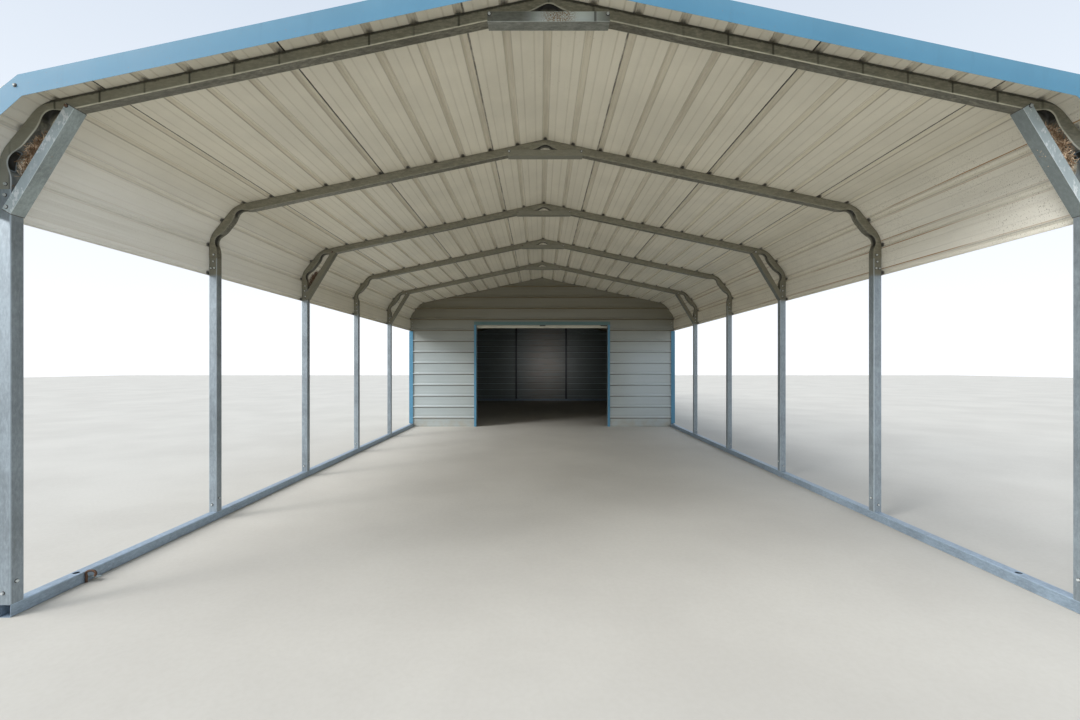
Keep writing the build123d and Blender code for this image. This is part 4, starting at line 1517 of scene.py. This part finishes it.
class CARPORT_OT_screws(bpy.types.Operator):
    """Drive the screws of frame, roof, siding and trims"""

    bl_idname = "carport.screws"
    bl_label = "Screws"

    def execute(self, context):
        values = sizes()
        bright = plated_finish("screw_frame", (0.60, 0.63, 0.62), 0.9)
        pale = plated_finish("screw_sheet", finishes().paint, 0.25)
        frame_size = values.frame_head, values.frame_washer
        sheet_size = values.sheet_head, values.sheet_washer
        trim_size = values.trim_head, values.trim_washer
        sets = (
            ("frame_screws", tie_screws() + brace_screws() + joint_screws(), bright, *frame_size, 3),
            ("roof_screws", roof_screws(), pale, *sheet_size, 5),
            ("siding_screws", wall_screws(), pale, *sheet_size, 7),
            ("trim_screws", trim_screws(), pale, *trim_size, 9),
        )
        for name, screws, material, head, washer, seed in sets:
            growth = screw_growth(material, head, washer, seed)
            mesh = growth.grown(screw_points(name, screws))
            new_piece(name, mesh, [], (), 25.0)
        return {"FINISHED"}


def swept(name, points, radius, sides):
    """Round bar along points, closed at its ends."""
    mesh = bmesh.new()
    rings = []
    across = Vector((0.0, 1.0, 0.0))
    for n, point in enumerate(points):
        ahead = points[min(n + 1, len(points) - 1)] - points[max(n - 1, 0)]
        across = (across - across.project(ahead)).normalized()
        other = ahead.cross(across).normalized()
        ring = []
        for k in range(sides):
            turn = 2 * math.pi * k / sides
            ring.append(mesh.verts.new(point + radius * (across * math.cos(turn) + other * math.sin(turn))))
        rings.append(ring)
    for first, second in zip(rings, rings[1:]):
        for k, vertex in enumerate(first):
            mesh.faces.new((vertex, first[k - 1], second[k - 1], second[k]))
    mesh.faces.new(rings[0])
    mesh.faces.new(rings[-1])
    bmesh.ops.recalc_face_normals(mesh, faces=mesh.faces)
    return finished_mesh(mesh, name)


class AnchorSizes(bpy.types.PropertyGroup):
    """Sizes of the ground anchor's eye."""

    inset: FloatProperty(name="Inset", description="Behind the front bow", default=0.36, unit="LENGTH")
    bar_radius: FloatProperty(name="Bar radius", description="Half the bar", default=0.0065, unit="LENGTH")
    eye_radius: FloatProperty(name="Eye radius", description="Half the eye", default=0.027, unit="LENGTH")
    eye_height: FloatProperty(
        name="Eye height", description="Middle of the eye", default=0.047, unit="LENGTH"
    )
    clip_size: FloatVectorProperty(
        name="Clip",
        description="Size of the pale clip",
        default=(0.062, 0.028, 0.004),
        subtype="XYZ",
    )


class CARPORT_OT_anchor(bpy.types.Operator):
    """Bend the rusty eye of the ground anchor beside the left base rail"""

    bl_idname = "carport.anchor"
    bl_label = "Ground anchor"

    def execute(self, context):
        values = context.scene.carport_anchor
        foot = Vector((-half_width + tube + values.bar_radius + 0.001, bow_places[0] + values.inset, 0.0))
        eye = foot + Vector((values.eye_radius * 0.9, 0.0, values.eye_height))
        points = [foot + Vector((0.0, 0.0, z)) for z in (0.0, 0.012, 0.024)]
        start, sweep, count = math.radians(205), math.radians(240), 24
        for n in range(count + 1):
            turn = start - sweep * n / count
            reach = values.eye_radius * (1.0 + 0.06 * math.sin(3 * turn))
            round_eye = Vector((reach * math.cos(turn), 0.004 * n / count, reach * 0.8 * math.sin(turn)))
            points.append(eye + round_eye)
        rust = rust_finish("anchor_rust")
        bar = swept("anchor_eye", points, values.bar_radius, 12)
        new_piece("anchor_eye", bar, [rust], (), 50.0)

        clip = bmesh.new()
        bmesh.ops.create_cube(clip, size=1.0)
        bmesh.ops.scale(clip, vec=values.clip_size, verts=clip.verts)
        place = Vector((-half_width + tube + values.clip_size[0] / 2, foot.y + 0.03, 0.022))
        bmesh.ops.translate(clip, vec=place, verts=clip.verts)
        edges = clip.edges[:]
        bmesh.ops.bevel(clip, geom=edges, offset=0.0015, segments=2, affect="EDGES", clamp_overlap=True)
        zinc = zinc_finish("zinc_clip", finishes().brace_zinc, (1.0, 1.0, 1.0), 0.8)
        new_piece("anchor_clip", finished_mesh(clip, "anchor_clip"), [zinc])
        return {"FINISHED"}


class NestSizes(bpy.types.PropertyGroup):
    """Sizes of the straw nests."""

    straw_length: FloatProperty(
        name="Straw", description="Length of a middling straw", default=0.066, unit="LENGTH"
    )
    straw_radius: FloatProperty(
        name="Straw radius", description="Half a straw's thickness", default=0.0012, unit="LENGTH"
    )
    density: FloatProperty(name="Density", description="Straws on a square metre", default=9500.0)
    reach: FloatVectorProperty(
        name="Nest", description="Half the size of a full nest", default=(0.150, 0.026, 0.056), subtype="XYZ"
    )
    off_brace: FloatProperty(
        name="Off the brace", description="From the brace to a nest's middle", default=0.074, unit="LENGTH"
    )


def straw_growth(material, seed):
    """Short curved straws that lie every way on the points of a clump."""
    values = bpy.context.scene.carport_nests
    growth = Growth(
        "nest_straws",
        straw_length=values.straw_length,
        straw_radius=values.straw_radius,
        density=values.density,
        seed=seed,
        material=material,
    )
    given = growth.given
    half = growth.maths("MULTIPLY", given["Straw length"], 0.5)
    rise = growth.maths("MULTIPLY", given["Straw length"], 0.16)
    straw = growth.add(
        "GeometryNodeCurveQuadraticBezier",
        {
            "Resolution": 4,
            "Start": growth.add("ShaderNodeCombineXYZ", {"X": growth.maths("MULTIPLY", half, -1.0)}),
            "Middle": growth.add("ShaderNodeCombineXYZ", {"Z": rise}),
            "End": growth.add("ShaderNodeCombineXYZ", {"X": half}),
        },
    )
    ring = growth.add("GeometryNodeCurvePrimitiveCircle", {"Resolution": 4, "Radius": given["Straw radius"]})
    straw = growth.add("GeometryNodeCurveToMesh", {"Curve": straw, "Profile Curve": ring, "Fill Caps": True})
    points = growth.add(
        "GeometryNodeDistributePointsOnFaces",
        {"Mesh": given["Geometry"], "Density": given["Density"], "Seed": given["Seed"]},
    )
    later = growth.maths("ADD", given["Seed"], 11.0)
    any_turn = (6.28, 6.28, 6.28)
    spin = growth.add(
        "FunctionNodeRandomValue", {"Max": any_turn, "Seed": later}, data_type="FLOAT_VECTOR"
    )
    length = growth.add(
        "FunctionNodeRandomValue", {"Min": 0.45, "Max": 1.25, "Seed": later}, data_type="FLOAT"
    )
    size = growth.add("ShaderNodeCombineXYZ", {"X": length, "Y": 1.0, "Z": length})
    placed = growth.add(
        "GeometryNodeInstanceOnPoints",
        {
            "Points": points,
            "Instance": straw,
            "Rotation": growth.add("FunctionNodeEulerToRotation", {"Euler": spin}),
            "Scale": size,
        },
    )
    tone = growth.add("FunctionNodeRandomValue", {"Seed": given["Seed"]}, data_type="FLOAT")
    placed = growth.add(
        "GeometryNodeStoreNamedAttribute",
        {"Geometry": placed, "Name": "tone", "Value": tone},
        data_type="FLOAT",
        domain="INSTANCE",
    )
    growth.finish(placed)
    return growth


def clump(name, centre, along, reach, seed):
    """Lumpy body of a nest, with smaller bodies in it that carry the inner straws."""
    mesh = bmesh.new()
    for share in (1.0, 0.7, 0.4):
        made = bmesh.ops.create_icosphere(mesh, subdivisions=3, radius=share)
        for vertex in made["verts"]:
            vertex.co *= 1.0 + 0.35 * noise.noise(vertex.co * 2.2 + Vector((seed, 0.0, share)))
    across = Vector((0.0, 1.0, 0.0))
    upward = along.cross(across).normalized()
    turn = Matrix((along, across, upward)).transposed()
    for vertex in mesh.verts:
        stretched = Vector(vertex.co[n] * reach[n] for n in range(3))
        vertex.co = centre + turn @ stretched
    return finished_mesh(mesh, name)


class CARPORT_OT_nests(bpy.types.Operator):
    """Stuff straw nests between knee braces and bows"""

    bl_idname = "carport.nests"
    bl_label = "Nests"

    def execute(self, context):
        values = context.scene.carport_nests
        straw = straw_finish()
        low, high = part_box("knee_braces_right")
        foot = Vector((half_width - tube, 0.0, low.z))
        head = Vector((low.x, 0.0, high.z - 0.05))
        along = (head - foot).normalized()
        out = Vector((along.z, 0.0, -along.x))
        off_web, inset = 0.004, 0.001
        # Side, number of the bow, place up the brace, size and seed of each nest
        nests = (
            (-1, 0, 0.52, 0.80, 3),
            (1, 0, 0.60, 0.88, 5),
            (-1, 2, 0.40, 0.6, 9),
            (-1, 0, 0.10, 0.4, 13),
        )
        for side, number, share, size, seed in nests:
            bow = bow_places[number]
            middle = foot + (head - foot) * share + out * values.off_brace
            centre = Vector((side * middle.x, bow, middle.z))
            lying = Vector((side * along.x, 0.0, along.z))
            name = f"nest_{seed}"
            body = clump(name, centre, lying, Vector(values.reach) * size, seed)
            mesh = straw_growth(straw, seed).grown(body)
            web = Vector((side * foot.x, 0.0, foot.z))
            outward = Vector((side * out.x, 0.0, out.z))
            for vertex in mesh.vertices:
                depth = (vertex.co - web).dot(outward)
                if depth < off_web:
                    vertex.co += outward * (off_web - depth)
                off = max(inset - tube / 2, min(vertex.co.y - bow, tube / 2 - inset))
                vertex.co.y = bow + off
            new_piece(name, mesh, [], (), 60.0)
        return {"FINISHED"}


class StageSettings(bpy.types.PropertyGroup):
    """Camera and light."""

    camera_place: FloatVectorProperty(
        name="Camera", description="Where the camera stands", default=(-0.043, -10.042, 1.25), subtype="XYZ"
    )
    lens: FloatProperty(name="Lens", description="Focal length in millimetres", default=16.0)
    horizon: FloatProperty(name="Horizon", description="Shift of the horizon", default=0.0061)
    sky: FloatProperty(name="Sky", description="Strength of the sky", default=1.15)
    top_light: FloatProperty(name="Top light", description="Strength of the light from above", default=1.8)
    front_light: FloatProperty(
        name="Front light", description="Strength of the light from in front", default=1.9
    )
    shed_light: FloatProperty(name="Shed light", description="Watts of the panel in the shed", default=1.6)
    floor_reach: FloatProperty(
        name="Floor", description="Half width of the floor", default=60.0, unit="LENGTH"
    )


class CARPORT_OT_stage(bpy.types.Operator):
    """Set the floor, the light and the camera"""

    bl_idname = "carport.stage"
    bl_label = "Stage"

    def execute(self, context):
        settings = context.scene.carport_stage
        reach, level = settings.floor_reach, -0.001
        mesh = bpy.data.meshes.new("studio_floor")
        corners = [(-reach, -reach), (reach, -reach), (reach, reach), (-reach, reach)]
        mesh.from_pydata([(x, y, level) for x, y in corners], [], [(0, 1, 2, 3)])
        mesh.materials.append(floor_finish())
        floor = bpy.data.objects.new("studio_floor", mesh)
        context.scene.collection.objects.link(floor)

        world = bpy.data.worlds.new("studio_sky")
        context.scene.world = world
        world.use_nodes = True
        nodes, links = world.node_tree.nodes, world.node_tree.links
        place = nodes.new("ShaderNodeTexCoord")
        split = nodes.new("ShaderNodeSeparateXYZ")
        ramp = nodes.new("ShaderNodeValToRGB")
        links.new(place.outputs["Generated"], split.inputs["Vector"])
        links.new(split.outputs["Z"], ramp.inputs["Fac"])
        links.new(ramp.outputs["Color"], nodes["Background"].inputs["Color"])
        ramp.color_ramp.elements[0].color = (0.95, 0.97, 1.0, 1.0)
        ramp.color_ramp.elements[1].color = (0.42, 0.50, 0.62, 1.0)
        ramp.color_ramp.elements.new(0.35).color = (0.72, 0.78, 0.86, 1.0)
        nodes["Background"].inputs["Strength"].default_value = settings.sky

        context.scene.view_settings.view_transform = "Standard"
        for name, strength, spread, tilt, turn in (
            ("soft_top", settings.top_light, 40.0, 35.0, -60.0),
            ("soft_front", settings.front_light, 20.0, 66.0, -55.0),
        ):
            lamp = bpy.data.lights.new(name, "SUN")
            lamp.energy = strength
            lamp.angle = math.radians(spread)
            sun = bpy.data.objects.new(name, lamp)
            sun.rotation_euler = (math.radians(tilt), 0.0, math.radians(turn))
            context.scene.collection.objects.link(sun)
        panel = bpy.data.lights.new("shed_light", "AREA")
        panel.shape = "RECTANGLE"
        panel.size = 1.0
        panel.size_y = 0.6
        panel.spread = math.radians(75)
        panel.color = (1.0, 0.92, 0.88)
        panel.energy = settings.shed_light
        glow = bpy.data.objects.new("shed_light", panel)
        glow.location = (0.2, rear_face - 2.4, 1.35)
        glow.rotation_euler = (math.radians(90), 0.0, 0.0)
        context.scene.collection.objects.link(glow)

        lens = bpy.data.cameras.new("camera")
        lens.lens = settings.lens
        lens.sensor_width = 36.0
        lens.shift_y = settings.horizon
        lens.clip_start = 0.05
        lens.clip_end = 300.0
        camera = bpy.data.objects.new("camera", lens)
        camera.location = settings.camera_place
        camera.rotation_euler = (math.pi / 2, 0.0, 0.0)
        context.scene.collection.objects.link(camera)
        context.scene.camera = camera
        return {"FINISHED"}


class CARPORT_PT_panel(bpy.types.Panel):
    """Sidebar panel of the carport"""

    bl_label = "Carport"
    bl_space_type = "VIEW_3D"
    bl_region_type = "UI"
    bl_category = "Carport"

    def draw(self, context):
        layout = self.layout
        for place in settings_groups:
            group = getattr(context.scene, place)
            box = layout.box()
            for name in group.__annotations__:
                box.prop(group, name)
        for operator in operators:
            layout.operator(operator.bl_idname)


operators = (
    CARPORT_OT_bows,
    CARPORT_OT_tubes,
    CARPORT_OT_channels,
    CARPORT_OT_roof,
    CARPORT_OT_siding,
    CARPORT_OT_trims,
    CARPORT_OT_door,
    CARPORT_OT_screws,
    CARPORT_OT_anchor,
    CARPORT_OT_nests,
    CARPORT_OT_stage,
)
settings_groups = {
    "carport_sizes": CarportSizes,
    "carport_finishes": CarportFinishes,
    "carport_anchor": AnchorSizes,
    "carport_nests": NestSizes,
    "carport_stage": StageSettings,
}
classes = (*settings_groups.values(), *operators, CARPORT_PT_panel)


def register():
    """Register the classes, and give the scene their settings."""
    for each in classes:
        bpy.utils.register_class(each)
    for place, group in settings_groups.items():
        setattr(bpy.types.Scene, place, PointerProperty(type=group))


def unregister():
    """Take the settings and the classes away again."""
    for place in settings_groups:
        delattr(bpy.types.Scene, place)
    for each in reversed(classes):
        bpy.utils.unregister_class(each)


def main():
    """Build everything in order."""
    register()
    for operator in operators:
        group, name = operator.bl_idname.split(".")
        getattr(getattr(bpy.ops, group), name)()


if __name__ == "__main__":
    main()
